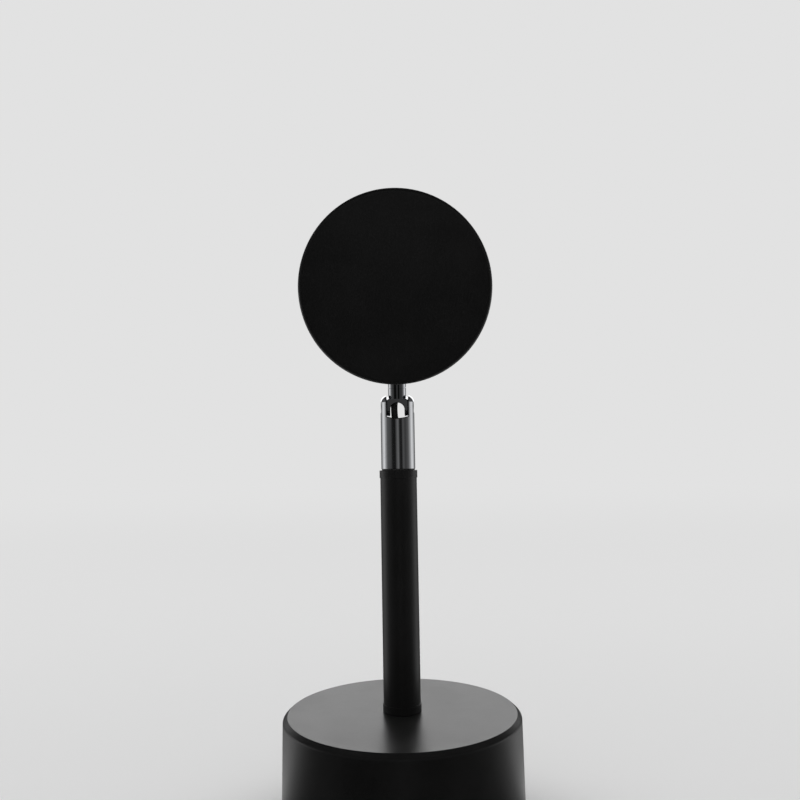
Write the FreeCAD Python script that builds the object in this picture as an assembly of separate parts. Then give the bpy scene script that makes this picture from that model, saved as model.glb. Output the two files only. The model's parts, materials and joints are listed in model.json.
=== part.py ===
"""Sunset projection lamp: a weighted round base, a thin post, a polished swivel knuckle and a drum head.

The frame is +Z up, with its origin at the middle of the face that the lamp stands on. The lens looks
towards -Y and a little upwards. All lengths are in millimetres and all angles in degrees.

The head's own pieces are drawn in the "optical" frame: its z runs along the light beam towards the lens,
its y runs from the neck up through the head, and its origin is the middle of the head's drum. The neck is
drawn in the "neck" frame: its origin is the tilt pivot and its z runs up through the neck. Both are set in
place by the tilt at rest.
"""

import FreeCAD
import Part

import math
import os

from FreeCAD import Placement, Rotation, Vector

# ---------------------------------------------------------------- base
BASE_HEIGHT = 40.0            # from the table to the base's top face
BASE_TOP_RADIUS = 45.0        # side wall, measured at the top face
BASE_FOOT_RADIUS = 45.5       # side wall at its lower edge, so the wall has a slight draft
BASE_WALL = 2.0
BASE_TOP_THICKNESS = 2.5
BASE_BEVEL_ACROSS = 1.7       # bevel round the top edge
BASE_BEVEL_DOWN = 1.5
BASE_BEVEL_OUTER_EDGE = 1.2   # rounding where the bevel meets the wall
BASE_BEVEL_INNER_EDGE = 0.25  # and where it meets the top face
BASE_FOOT_EDGE = 0.4
PAD_THICKNESS = 1.5
PAD_PROUD = 1.0               # how far the pad stands below the shell's edge
PAD_MARGIN = 1.7              # bare rim of the base plate round the pad
PAD_EDGE = 0.3
PLATE_THICKNESS = 2.5
PLATE_GAP = 0.3               # between the base plate and the shell's wall
BOSS_COUNT = 4
BOSS_FROM_WALL = 7.4          # from the wall's inner face, at the base plate, to a screw boss's middle
BOSS_START_ANGLE = 45.0
BOSS_RADIUS = 4.0
RIB_THICKNESS = 1.5
BASE_SCREW_RADIUS = 1.25
BASE_SCREW_LENGTH = 12.0
BASE_SCREW_HEAD_RADIUS = 2.7
BASE_SCREW_HEAD_HEIGHT = 1.5
SCREW_GAP = 0.05              # between a screw's shank and the hole that it bites in
HOLE_GAP = 0.3                # between a screw's shank and a hole that it only passes through
DRIVE_RADIUS = 0.9            # hexagon socket in the screw heads
DRIVE_SHARE = 0.5             # its depth as a share of the head's height
WEIGHT_RADIUS = 30.0
WEIGHT_HEIGHT = 17.0
WEIGHT_BORE = 8.0
WEIGHT_CHAMFER = 1.0

# ---------------------------------------------------------------- hollow threaded stem, base to post
STEM_RADIUS = 4.0
STEM_BORE = 2.5
STEM_BELOW_NUT = 1.5
STEM_CHAMFER = 0.5
STEM_NUT_ACROSS = 13.0
STEM_NUT_HEIGHT = 5.0
STEM_WASHER_RADIUS = 12.0
STEM_WASHER_THICKNESS = 1.5
STEM_GAP = 0.05               # between the stem and what is screwed on it
STEM_SHELL_GAP = 0.2          # between the stem and the hole in the base's top

# ---------------------------------------------------------------- cable entry in the back of the base
GLAND_HEIGHT = 11.0           # height of its middle above the table
GLAND_RADIUS = 4.0            # hole in the wall
GLAND_FLANGE_RADIUS = 5.5
GLAND_FLANGE = 1.5            # flange thickness, outside and inside
GLAND_BORE = 1.9
GLAND_FILLET = 0.6

# ---------------------------------------------------------------- post
POST_RADIUS = 7.1
POST_WALL = 1.2
POST_LENGTH = 91.0            # from the base's top face to the top of the upper ferrule
FERRULE_RADIUS = 7.35
FERRULE_HEIGHT = 3.0
FERRULE_FILLET = 0.2
FERRULE_SPIGOT_GAP = 0.1      # between a ferrule's spigot and the tube
FOOT_SPIGOT_LENGTH = 14.0
BUSH_SPIGOT_LENGTH = 12.0

# ---------------------------------------------------------------- swivel sleeve
SLEEVE_RADIUS = 6.6
SLEEVE_LENGTH = 28.9          # from the glide washer to the domed top
SLEEVE_DOME = 3.0             # rounding of the top edge
SLEEVE_BORE = 3.4
SLEEVE_TAIL_RADIUS = 5.0      # tail that turns in the upper ferrule
SLEEVE_TAIL_GAP = 0.05
SLEEVE_TAIL_BELOW_CLIP = 1.2
GLIDE_THICKNESS = 0.4
GLIDE_RIM = 0.2               # the glide washer is this much smaller than the sleeve
CLIP_THICKNESS = 0.8
CLIP_GROOVE_DEPTH = 0.8
CLIP_REACH = 0.55             # how far the clip stands out of the tail
CLIP_MOUTH = 5.0
CLIP_GAP = 0.1                # below the bush, and round the groove
SLOT_HALF_WIDTH = 4.3
SLOT_DROP = 4.5               # from the pivot to the lowest point of the slot
SLOT_CURVE = 12.0             # radius of the slot's floor
PIVOT_BELOW_TOP = 4.8
SLOT_EDGE = 0.35              # chamfer where the slot meets the sleeve's outside
SLEEVE_FOOT_EDGE = 0.2

# ---------------------------------------------------------------- tilting neck
HEAD_TILT = 13.5              # upward tilt of the light beam at rest
NECK_RADIUS = 3.5
NECK_BORE = 2.5
NECK_SHOULDER = 7.8           # from the pivot to the shoulder under the head
SEAT_EDGE = 0.15              # chamfer on the ring between the neck and the head
EYE_HALF_WIDTH = 4.05         # half of the fork's width, cheek to cheek
EYE_TOP = 3.9                 # where the fork ends and the neck begins
EYE_CHAMFER = 0.5
EYE_EDGE = 0.25               # chamfer round the fork's cheeks and the window
WINDOW_HALF_WIDTH = 2.8       # opening that the lead passes through
WINDOW_CENTRE = -0.4          # centre of its arched top, from the pivot
PIVOT_RADIUS = 1.5
PIVOT_GAP = 0.05
PIVOT_HEAD_RADIUS = 2.4
PIVOT_HEAD_THICKNESS = 0.95
PIVOT_HEAD_EDGE = 0.15
PIVOT_HEAD_GAP = 0.15
PIVOT_HEAD_SINK = 0.2         # how far the head lies below the sleeve's side
FRICTION_RING_RADIUS = 3.3
STUD_RADIUS = 3.2
STUD_GAP = 0.05
STUD_END = 20.0               # from the pivot to the top of the stud
NECK_NUT_ACROSS = 11.0
NECK_NUT_HEIGHT = 3.2
NECK_WASHER_RADIUS = 5.8
NECK_WASHER_THICKNESS = 0.8

# ---------------------------------------------------------------- head
HEAD_RADIUS = 35.5
HEAD_CENTRE = 46.5            # from the pivot to the middle of the drum
HEAD_REAR = 16.0              # from the middle back to the rear face
HEAD_FRONT = 17.0             # from the middle forward to the rim
HEAD_WALL = 1.8
HEAD_REAR_THICKNESS = 2.2
HEAD_EDGE = 1.6               # rounding of the rear edge
HEAD_RIM_EDGE = 0.5           # rounding of the front rim
SEAT_FLAT = 35.3              # flat for the neck, measured from the drum's axis
SEAT_RADIUS = 3.6
NECK_PAD_RADIUS = 7.0         # flat boss inside, under the neck's nut
NECK_PAD_LEVEL = 31.5         # its face, measured from the drum's axis
COVER_RADIUS = 34.2
COVER_THICKNESS = 2.6
COVER_EDGE = 0.3
COVER_SUNK = 0.4              # the cover's face lies this far behind the rim
COVER_GAP = 0.1               # between the cover and the rebate it sits in
SKIRT_RADIUS = 33.5
SKIRT_WALL = 1.6
SKIRT_LENGTH = 5.0
BEAD_HEIGHT = 0.4
BEAD_WIDTH = 1.0
BEAD_FROM_PLATE = 3.0         # from the plate's back to the middle of the bead
BEAD_GAP = 0.1
LENS_RING_RADIUS = 24.0
LENS_RING_PROUD = 2.3
LENS_RING_EDGE = 0.8
LENS_RADIUS = 21.0
LENS_EDGE = 2.5
LENS_CURVE = 26.0             # radius of the domed face
LENS_BACK = 13.0              # flat face, forward of the drum's middle
LENS_GAP = 0.2
LIP_START = 16.2              # conical lip that holds the lens: from here to the ring's front
LIP_START_RADIUS = 20.9
LIP_END_RADIUS = 18.9
SEAT_BOSS_WALL = 1.8          # wall of the cover's socket round the lens and the barrel
SEAT_BOSS_DEPTH = 3.5
GASKET_THICKNESS = 1.0
GASKET_INNER = 19.5
GASKET_OUTER = 20.7
BARREL_RADIUS = 21.0
BARREL_WALL = 1.6
BARREL_TUBE_LENGTH = 3.5
BARREL_REAR_INNER = 10.9
BARREL_REAR_OUTER = 12.5
BULKHEAD_RADIUS = 32.5
BULKHEAD_THICKNESS = 2.0
BULKHEAD_FACE = -4.3          # front face of the bulkhead
BULKHEAD_NOTCH = 9.0          # half width of the notch that clears the neck's nut
BULKHEAD_NOTCH_LEVEL = 24.0
BARREL_SCREW_CIRCLE = 24.0
BARREL_SCREW_ANGLES = (90.0, 210.0, 330.0)
BARREL_SCREW_RADIUS = 1.2
BARREL_SCREW_LENGTH = 7.0
BARREL_SCREW_HEAD_RADIUS = 2.3
BARREL_SCREW_HEAD_HEIGHT = 1.5
BARREL_BOSS_RADIUS = 3.0
FILTER_RADIUS = 12.6
FILTER_THICKNESS = 1.1
FILTER_BACK = -1.6
FILTER_RING_WIDTH = 1.2
FILTER_RING_THICKNESS = 0.8
FILTER_RING_OVERSIZE = 0.7    # the cone is wider in front of the filter, and so is its ring
SINK_RADIUS = 20.5
SINK_SLOTS = 16
SINK_SLOT_WIDTH = 1.6
SINK_SLOT_DEPTH = 5.0
THERMAL_PAD_THICKNESS = 0.5
THERMAL_PAD_RADIUS = 14.0
LED_BOARD_RADIUS = 10.0
LED_BOARD_THICKNESS = 1.6
LED_BOARD_GAP = 0.5
LED_CHIP_SIDE = 7.0
LED_CHIP_THICKNESS = 0.7
LED_DOME_RADIUS = 2.6
LED_DOME_HEIGHT = 1.5
LED_SCREW_OFFSET = 7.2
LED_SCREW_RADIUS = 0.95
LED_SCREW_LENGTH = 5.0
LED_SCREW_HEAD_RADIUS = 1.7
LED_SCREW_HEAD_HEIGHT = 1.1
LED_SCREW_POINTS = ((0, -LED_SCREW_OFFSET), (0, LED_SCREW_OFFSET))

# ---------------------------------------------------------------- driver board and wiring
DRIVER_LENGTH = 16.0
DRIVER_WIDTH = 8.5
DRIVER_THICKNESS = 1.2
DRIVER_INNER_EDGE = 22.5      # nearest edge to the drum's axis
DRIVER_STANDOFF = 1.8
DRIVER_POST_RADIUS = 1.3
CHOKE_SIDE = 4.0
CHOKE_HEIGHT = 2.6
CHIP_LENGTH = 4.4
CHIP_WIDTH = 3.0
CHIP_HEIGHT = 1.3
CHIP_SHIFT = 1.0              # how far the chip lies off the board's middle
LEAD_RADIUS = 1.3
LEAD_LEVEL = 7.5              # height at which it crosses the base
LEAD_BEND = 5.0               # where it turns up into the stem
SPLICE_RADIUS = 1.9
SPLICE_LENGTH = 6.0
SPLICE_TO_GLAND = 1.9         # room between the splice and the gland, for the cable that comes in
CLAMP_LENGTH = 6.0
CLAMP_WIDTH = 18.0
CLAMP_HEIGHT = 6.5
CLAMP_TO_SPLICE = 2.5
CLAMP_TUNNEL_GAP = 0.1
CLAMP_SCREW_OFFSET = 6.0
CLAMP_SCREW_RADIUS = 1.0
CLAMP_SCREW_BITE = 1.8
CLAMP_SCREW_HEAD_RADIUS = 1.9
CLAMP_SCREW_HEAD_HEIGHT = 1.3
LEAD_JOIN_BELOW_PIVOT = 10.0  # where the flexing stretch through the joint begins
LEAD_JOIN_ABOVE_PIVOT = 10.0  # and where it ends
# The flexing stretch bows to one side in the window: (side step, level) from the pivot, upright below it
# and along the tilted neck above it.
LEAD_POINTS_BELOW_PIVOT = ((0.0, -7.6), (1.0, -4.6), (1.25, -1.4))
LEAD_POINTS_IN_NECK = ((1.19, 1.8), (0.0, 6.6))
# From the stud round the barrel towards the driver board, in the optical frame.
LEAD_POINTS_IN_HEAD = ((3.5, -21.5, 0.6), (11.0, -20.5, 2.4), (19.5, -17.5, 3.4))
LEAD_END_APPROACH = 4.0       # last run before the driver board's edge
LEAD_END_REACH = 1.0          # how far its end lies over the board
STRAND_RADIUS = 0.4
STRAND_OFFSET = 1.2
STRAND_END = 8.6              # where the strands meet the LED board
STRAND_REACH = 24.6           # where they turn to the driver board
STRAND_BEND = 1.0
STRAND_GAP = 0.1

# ---------------------------------------------------------------- levels worked out from the sizes above
SHELL_FOOT = PAD_PROUD
PLATE_BOTTOM = PAD_THICKNESS
PLATE_TOP = PLATE_BOTTOM + PLATE_THICKNESS
BASE_CEILING = BASE_HEIGHT - BASE_TOP_THICKNESS
WEIGHT_BOTTOM = BASE_CEILING - WEIGHT_HEIGHT
STEM_NUT_TOP = WEIGHT_BOTTOM - STEM_WASHER_THICKNESS
STEM_BOTTOM = STEM_NUT_TOP - STEM_NUT_HEIGHT - STEM_BELOW_NUT
POST_BORE = POST_RADIUS - POST_WALL
POST_TOP = BASE_HEIGHT + POST_LENGTH
TUBE_BOTTOM = BASE_HEIGHT + FERRULE_HEIGHT
TUBE_TOP = POST_TOP - FERRULE_HEIGHT
BUSH_BOTTOM = TUBE_TOP - BUSH_SPIGOT_LENGTH
STEM_TOP = TUBE_BOTTOM + FOOT_SPIGOT_LENGTH
CLIP_TOP = BUSH_BOTTOM - CLIP_GAP
TAIL_BOTTOM = CLIP_TOP - CLIP_THICKNESS - SLEEVE_TAIL_BELOW_CLIP
SLEEVE_BOTTOM = POST_TOP + GLIDE_THICKNESS
SLEEVE_TOP = SLEEVE_BOTTOM + SLEEVE_LENGTH
PIVOT_HEIGHT = SLEEVE_TOP - PIVOT_BELOW_TOP
PIVOT_HEAD_OUTER = SLEEVE_RADIUS - PIVOT_HEAD_SINK
PIVOT_HEAD_INNER = PIVOT_HEAD_OUTER - PIVOT_HEAD_THICKNESS
COVER_BACK = HEAD_FRONT - COVER_SUNK - COVER_THICKNESS
COVER_FACE = HEAD_FRONT - COVER_SUNK
BEAD_LEVEL = COVER_BACK - BEAD_FROM_PLATE
RING_FACE = COVER_FACE + LENS_RING_PROUD
BARREL_FRONT = LENS_BACK - GASKET_THICKNESS
CONE_FRONT = BARREL_FRONT - BARREL_TUBE_LENGTH
BULKHEAD_BACK = BULKHEAD_FACE - BULKHEAD_THICKNESS
REAR_INSIDE = -HEAD_REAR + HEAD_REAR_THICKNESS
SINK_BACK = REAR_INSIDE + THERMAL_PAD_THICKNESS
LED_BOARD_FACE = BULKHEAD_BACK + LED_BOARD_THICKNESS
DRIVER_BACK = BULKHEAD_FACE + DRIVER_STANDOFF
DRIVER_FACE = DRIVER_BACK + DRIVER_THICKNESS
STRAND_LEVEL = LED_BOARD_FACE + STRAND_RADIUS + STRAND_GAP
BELOW = 5.0                   # how far cutting tools run past what they cut
TOUCH = 1e-4                  # two levels or radii closer than this are the same


def base_radius(level, inside=0.0):
    """Radius of the base's drafted side wall at a level, less a wall thickness."""
    share = (BASE_HEIGHT - level) / (BASE_HEIGHT - SHELL_FOOT)
    return BASE_TOP_RADIUS + (BASE_FOOT_RADIUS - BASE_TOP_RADIUS) * share - inside


BOSS_CIRCLE = base_radius(PLATE_BOTTOM, BASE_WALL) - BOSS_FROM_WALL
GLAND_INNER = base_radius(GLAND_HEIGHT, BASE_WALL) - GLAND_FLANGE
GLAND_OUTER = base_radius(GLAND_HEIGHT) + GLAND_FLANGE
LEAD_START = GLAND_INNER - SPLICE_TO_GLAND - SPLICE_LENGTH    # its spliced end, from the middle of the base
CLAMP_NEAR = LEAD_START - CLAMP_TO_SPLICE - CLAMP_LENGTH      # the clamp's inner face

X = Vector(1, 0, 0)
Y = Vector(0, 1, 0)
Z = Vector(0, 0, 1)
ORIGIN = Vector(0, 0, 0)

# From the neck frame and from the optical frame into the lamp's own frame, with the head at rest.
NECK_PLACE = Placement(Vector(0, 0, PIVOT_HEIGHT), Rotation(X, -HEAD_TILT))
OPTICAL_PLACE = NECK_PLACE.multiply(Placement(Vector(0, 0, HEAD_CENTRE), Rotation(X, 90)))


# ---------------------------------------------------------------- small tools
def rod(radius, bottom, top, x=0.0, y=0.0):
    """An upright cylinder between two levels."""
    return Part.makeCylinder(radius, top - bottom, Vector(x, y, bottom), Z)


def tube(outer, inner, bottom, top):
    """An upright tube between two levels."""
    return rod(outer, bottom, top).cut(rod(inner, bottom - BELOW, top + BELOW))


def cross_rod(radius, start, end, axis, at=ORIGIN):
    """A cylinder along the given axis, from start to end, through the point at."""
    return Part.makeCylinder(radius, end - start, at + axis * start, axis)


def block(low, high):
    """A box between two corners."""
    return Part.makeBox(high[0] - low[0], high[1] - low[1], high[2] - low[2], Vector(*low))


def turned(profile):
    """A solid of revolution about Z from (radius, level) corners."""
    wire = Part.makePolygon([Vector(r, 0, z) for r, z in profile + profile[:1]])
    return Part.Face(wire).revolve(ORIGIN, Z, 360)


def hexagon(across, bottom, top):
    """A hexagonal prism, measured across its flats."""
    corner = across / 2 / math.cos(math.radians(30))
    points = [Vector(corner * math.cos(math.radians(60 * k)), corner * math.sin(math.radians(60 * k)), bottom)
              for k in range(7)]
    return Part.Face(Part.makePolygon(points)).extrude(Z * (top - bottom))


def circles(shape, radius, level=None):
    """The shape's upright-axis circles of one radius, and only those at one level if that is given."""
    found = [edge for edge in shape.Edges
             if isinstance(edge.Curve, Part.Circle) and abs(edge.Curve.Radius - radius) < TOUCH]
    return [edge for edge in found if level is None or abs(edge.Curve.Center.z - level) < TOUCH]


def drilled(shape, points, radius, bottom, top):
    """The shape with an upright hole at each point."""
    for x, y in points:
        shape = shape.cut(rod(radius, bottom, top, x, y))
    return shape


def around(count, radius, start=0.0):
    """Points evenly spread round the Z axis."""
    for k in range(count):
        angle = math.radians(start + 360.0 * k / count)
        yield radius * math.cos(angle), radius * math.sin(angle)


def screw(shank_radius, length, head_radius, head_height, countersunk=False):
    """A screw that points up along Z from under its head, which lies below the origin."""
    if countersunk:
        head = Part.makeCone(head_radius, shank_radius, head_height, Vector(0, 0, -head_height), Z)
    else:
        head = rod(head_radius, -head_height, 0)
    tip = Part.makeCone(shank_radius, shank_radius / 3, shank_radius, Vector(0, 0, length), Z)
    socket = hexagon(2 * DRIVE_RADIUS, -head_height - BELOW, -head_height * (1 - DRIVE_SHARE))
    return head.fuse(rod(shank_radius, 0, length)).fuse(tip).cut(socket).removeSplitter()


def screws_at(points, level, made):
    """Copies of a screw, standing with their heads' undersides at one level."""
    return Part.makeCompound([made.translated(Vector(x, y, level)) for x, y in points])


def head_up(made):
    """The screw turned over, so that it points down from under its head."""
    return made.rotated(ORIGIN, X, 180)


def lead_path(points):
    """Straight runs joined by tangent arcs as large as the two runs allow, and the radii of those arcs."""
    points = [Vector(*p) for p in points]
    edges, radii, start = [], [], points[0]
    for before, corner, after in zip(points, points[1:], points[2:]):
        back, ahead = before - corner, after - corner
        half_turn = (math.pi - back.getAngle(ahead)) / 2
        reach = 0.45 * min(back.Length, ahead.Length)
        radius = reach / math.tan(half_turn)
        back.normalize()
        ahead.normalize()
        bisector = back + ahead
        bisector.normalize()
        middle = corner + bisector * (radius / math.cos(half_turn) - radius)
        edges.append(Part.LineSegment(start, corner + back * reach).toShape())
        edges.append(Part.Arc(corner + back * reach, middle, corner + ahead * reach).toShape())
        start = corner + ahead * reach
        radii.append(round(radius, 1))
    edges.append(Part.LineSegment(start, points[-1]).toShape())
    return Part.Wire(edges), radii


def lead(points, radius=LEAD_RADIUS):
    """A round lead along a route of points."""
    path, radii = lead_path(points)
    first = Vector(*points[0])
    section = Part.Wire(Part.makeCircle(radius, first, Vector(*points[1]) - first))
    made = path.makePipeShell([section], True, True)
    expected = math.pi * radius ** 2 * path.Length
    print("lead of %.1f mm: volume is %.4f of section times length, radii %s"
          % (path.Length, made.Volume / expected, radii))
    return made


def from_neck(x, z):
    """A point of the neck frame's middle plane, in the lamp's frame."""
    point = NECK_PLACE.multVec(Vector(x, 0, z))
    return point.x, point.y, point.z


# ---------------------------------------------------------------- base
def base_boss_points():
    return list(around(BOSS_COUNT, BOSS_CIRCLE, BOSS_START_ANGLE))


def make_boss(x, y):
    """One screw boss under the base's top, with a rib to the wall."""
    top = BASE_CEILING + BASE_WALL / 2
    rib = block((BOSS_CIRCLE, -RIB_THICKNESS / 2, PLATE_TOP),
                (base_radius(BASE_CEILING, BASE_WALL / 2), RIB_THICKNESS / 2, top))
    rib.rotate(ORIGIN, Z, math.degrees(math.atan2(y, x)))
    return rod(BOSS_RADIUS, PLATE_TOP, top, x, y).fuse(rib)


def make_base_shell():
    """The round cover: bevelled top, drafted wall, screw bosses, and the holes for stem and gland."""
    shell = turned([
        (0, SHELL_FOOT), (BASE_FOOT_RADIUS, SHELL_FOOT),
        (base_radius(BASE_HEIGHT - BASE_BEVEL_DOWN), BASE_HEIGHT - BASE_BEVEL_DOWN),
        (BASE_TOP_RADIUS - BASE_BEVEL_ACROSS, BASE_HEIGHT), (0, BASE_HEIGHT)])
    bevel_foot = BASE_HEIGHT - BASE_BEVEL_DOWN
    shell = shell.makeFillet(BASE_BEVEL_OUTER_EDGE, circles(shell, base_radius(bevel_foot), bevel_foot))
    shell = shell.makeFillet(BASE_BEVEL_INNER_EDGE,
                             circles(shell, BASE_TOP_RADIUS - BASE_BEVEL_ACROSS, BASE_HEIGHT))
    shell = shell.makeFillet(BASE_FOOT_EDGE, circles(shell, BASE_FOOT_RADIUS, SHELL_FOOT))
    cavity = turned([
        (0, SHELL_FOOT - BELOW), (base_radius(SHELL_FOOT - BELOW, BASE_WALL), SHELL_FOOT - BELOW),
        (base_radius(BASE_CEILING, BASE_WALL), BASE_CEILING), (0, BASE_CEILING)])
    shell = shell.cut(cavity)
    for x, y in base_boss_points():
        shell = shell.fuse(make_boss(x, y))
    hole_end = PLATE_BOTTOM + BASE_SCREW_HEAD_HEIGHT + BASE_SCREW_LENGTH + 2 * BASE_SCREW_RADIUS
    shell = drilled(shell, base_boss_points(), BASE_SCREW_RADIUS + SCREW_GAP, PLATE_TOP - BELOW, hole_end)
    shell = shell.cut(rod(STEM_RADIUS + STEM_SHELL_GAP, BASE_CEILING - BELOW, BASE_HEIGHT + BELOW))
    gland_hole = cross_rod(GLAND_RADIUS, BASE_TOP_RADIUS - 2 * BELOW, BASE_FOOT_RADIUS + BELOW, Y,
                           Vector(0, 0, GLAND_HEIGHT))
    return shell.cut(gland_hole).removeSplitter()


def make_base_weight():
    weight = tube(WEIGHT_RADIUS, WEIGHT_BORE, WEIGHT_BOTTOM, BASE_CEILING)
    return weight.makeChamfer(WEIGHT_CHAMFER, circles(weight, WEIGHT_RADIUS))


def make_base_plate():
    """The bottom plate, with countersunk screw holes and the two blind holes for the lead clamp."""
    radius = base_radius(PLATE_BOTTOM, BASE_WALL + PLATE_GAP)
    hole = BASE_SCREW_RADIUS + HOLE_GAP
    plate = drilled(rod(radius, PLATE_BOTTOM, PLATE_TOP), base_boss_points(), hole,
                    PLATE_BOTTOM - BELOW, PLATE_TOP + BELOW)
    for x, y in base_boss_points():
        plate = plate.cut(Part.makeCone(BASE_SCREW_HEAD_RADIUS + HOLE_GAP, hole, BASE_SCREW_HEAD_HEIGHT,
                                        Vector(x, y, PLATE_BOTTOM), Z))
    return drilled(plate, clamp_screw_points(), CLAMP_SCREW_RADIUS + SCREW_GAP,
                   PLATE_TOP - CLAMP_SCREW_BITE - HOLE_GAP, PLATE_TOP + BELOW)


def make_base_screws():
    made = screw(BASE_SCREW_RADIUS, BASE_SCREW_LENGTH, BASE_SCREW_HEAD_RADIUS, BASE_SCREW_HEAD_HEIGHT, True)
    return screws_at(base_boss_points(), PLATE_BOTTOM + BASE_SCREW_HEAD_HEIGHT, made)


def make_foot_pad():
    radius = base_radius(PLATE_BOTTOM, BASE_WALL + PLATE_GAP + PAD_MARGIN)
    pad = rod(radius, 0, PAD_THICKNESS)
    return pad.makeFillet(PAD_EDGE, circles(pad, radius, 0))


def make_stem():
    stem = tube(STEM_RADIUS, STEM_BORE, STEM_BOTTOM, STEM_TOP)
    return stem.makeChamfer(STEM_CHAMFER, circles(stem, STEM_RADIUS))


def make_stem_nut():
    nut = hexagon(STEM_NUT_ACROSS, STEM_NUT_TOP - STEM_NUT_HEIGHT, STEM_NUT_TOP)
    return nut.cut(rod(STEM_RADIUS + STEM_GAP, STEM_BOTTOM - BELOW, STEM_NUT_TOP + BELOW))


def make_stem_washer():
    return tube(STEM_WASHER_RADIUS, STEM_RADIUS + STEM_SHELL_GAP, STEM_NUT_TOP, WEIGHT_BOTTOM)


def make_cable_gland():
    """The rubber grommet in the back wall: its flanges follow the wall and have flat faces."""
    middle = Vector(0, 0, GLAND_HEIGHT)
    gland = rod(GLAND_FLANGE_RADIUS, GLAND_INNER, GLAND_OUTER)
    gland = gland.makeFillet(GLAND_FILLET, circles(gland, GLAND_FLANGE_RADIUS, GLAND_OUTER))
    gland.rotate(ORIGIN, X, -90)
    gland.translate(middle)
    low, high = GLAND_HEIGHT - 2 * GLAND_FLANGE_RADIUS, GLAND_HEIGHT + 2 * GLAND_FLANGE_RADIUS
    wall = turned([(base_radius(low, BASE_WALL), low), (base_radius(low), low),
                   (base_radius(high), high), (base_radius(high, BASE_WALL), high)])
    wall = wall.cut(cross_rod(GLAND_RADIUS, 0, GLAND_OUTER + BELOW, Y, middle))
    return gland.cut(wall).cut(cross_rod(GLAND_BORE, 0, GLAND_OUTER + BELOW, Y, middle))


def clamp_screw_points():
    across = CLAMP_NEAR + CLAMP_LENGTH / 2
    return [(-CLAMP_SCREW_OFFSET, across), (CLAMP_SCREW_OFFSET, across)]


def make_lead_clamp():
    """The plastic bridge that holds the lead down on the base plate."""
    clamp = block((-CLAMP_WIDTH / 2, CLAMP_NEAR, PLATE_TOP),
                  (CLAMP_WIDTH / 2, CLAMP_NEAR + CLAMP_LENGTH, PLATE_TOP + CLAMP_HEIGHT))
    tunnel = cross_rod(LEAD_RADIUS + CLAMP_TUNNEL_GAP, CLAMP_NEAR - BELOW,
                       CLAMP_NEAR + CLAMP_LENGTH + BELOW, Y, Vector(0, 0, LEAD_LEVEL))
    return drilled(clamp.cut(tunnel), clamp_screw_points(), CLAMP_SCREW_RADIUS + HOLE_GAP,
                   0, PLATE_TOP + CLAMP_HEIGHT + BELOW)


def make_clamp_screws():
    made = screw(CLAMP_SCREW_RADIUS, CLAMP_HEIGHT + CLAMP_SCREW_BITE - CLAMP_SCREW_RADIUS,
                 CLAMP_SCREW_HEAD_RADIUS, CLAMP_SCREW_HEAD_HEIGHT)
    return screws_at(clamp_screw_points(), PLATE_TOP + CLAMP_HEIGHT, head_up(made))


# ---------------------------------------------------------------- post
def make_foot_ferrule():
    """The lower ferrule: a flange on the base and a spigot inside the tube, screwed on the stem."""
    spigot = POST_BORE - FERRULE_SPIGOT_GAP
    ferrule = rod(FERRULE_RADIUS, BASE_HEIGHT, TUBE_BOTTOM).fuse(rod(spigot, TUBE_BOTTOM, STEM_TOP))
    ferrule = ferrule.cut(rod(STEM_RADIUS + STEM_GAP, BASE_HEIGHT - BELOW, STEM_TOP + BELOW))
    return ferrule.makeFillet(FERRULE_FILLET, circles(ferrule, FERRULE_RADIUS))


def make_post_tube():
    return tube(POST_RADIUS, POST_BORE, TUBE_BOTTOM, TUBE_TOP)


def make_swivel_bush():
    """The upper ferrule, in which the sleeve's tail turns."""
    spigot = POST_BORE - FERRULE_SPIGOT_GAP
    bush = rod(FERRULE_RADIUS, TUBE_TOP, POST_TOP).fuse(rod(spigot, BUSH_BOTTOM, TUBE_TOP))
    bush = bush.cut(rod(SLEEVE_TAIL_RADIUS + SLEEVE_TAIL_GAP, BUSH_BOTTOM - BELOW, POST_TOP + BELOW))
    return bush.makeFillet(FERRULE_FILLET, circles(bush, FERRULE_RADIUS))


# ---------------------------------------------------------------- swivel sleeve
def make_glide_washer():
    return tube(SLEEVE_RADIUS - GLIDE_RIM, SLEEVE_TAIL_RADIUS + SLEEVE_TAIL_GAP, POST_TOP, SLEEVE_BOTTOM)


def slot_mouth_edges(body):
    """The edges where the slot breaks through the sleeve's outside, on its round side, dome and top."""
    found = []
    for edge in body.Edges:
        middle = edge.valueAt((edge.FirstParameter + edge.LastParameter) / 2)
        at_wall = abs(abs(middle.x) - SLOT_HALF_WIDTH) < TOUCH
        on_side = abs(math.hypot(middle.x, middle.y) - SLEEVE_RADIUS) < TOUCH
        on_floor = abs(middle.x) < TOUCH and on_side and middle.z > SLEEVE_BOTTOM + SLEEVE_FOOT_EDGE
        deep_in_slot = abs(middle.y) < TOUCH and middle.z < SLEEVE_TOP - SLEEVE_DOME
        if on_floor or (at_wall and not deep_in_slot):
            found.append(edge)
    return found


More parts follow.
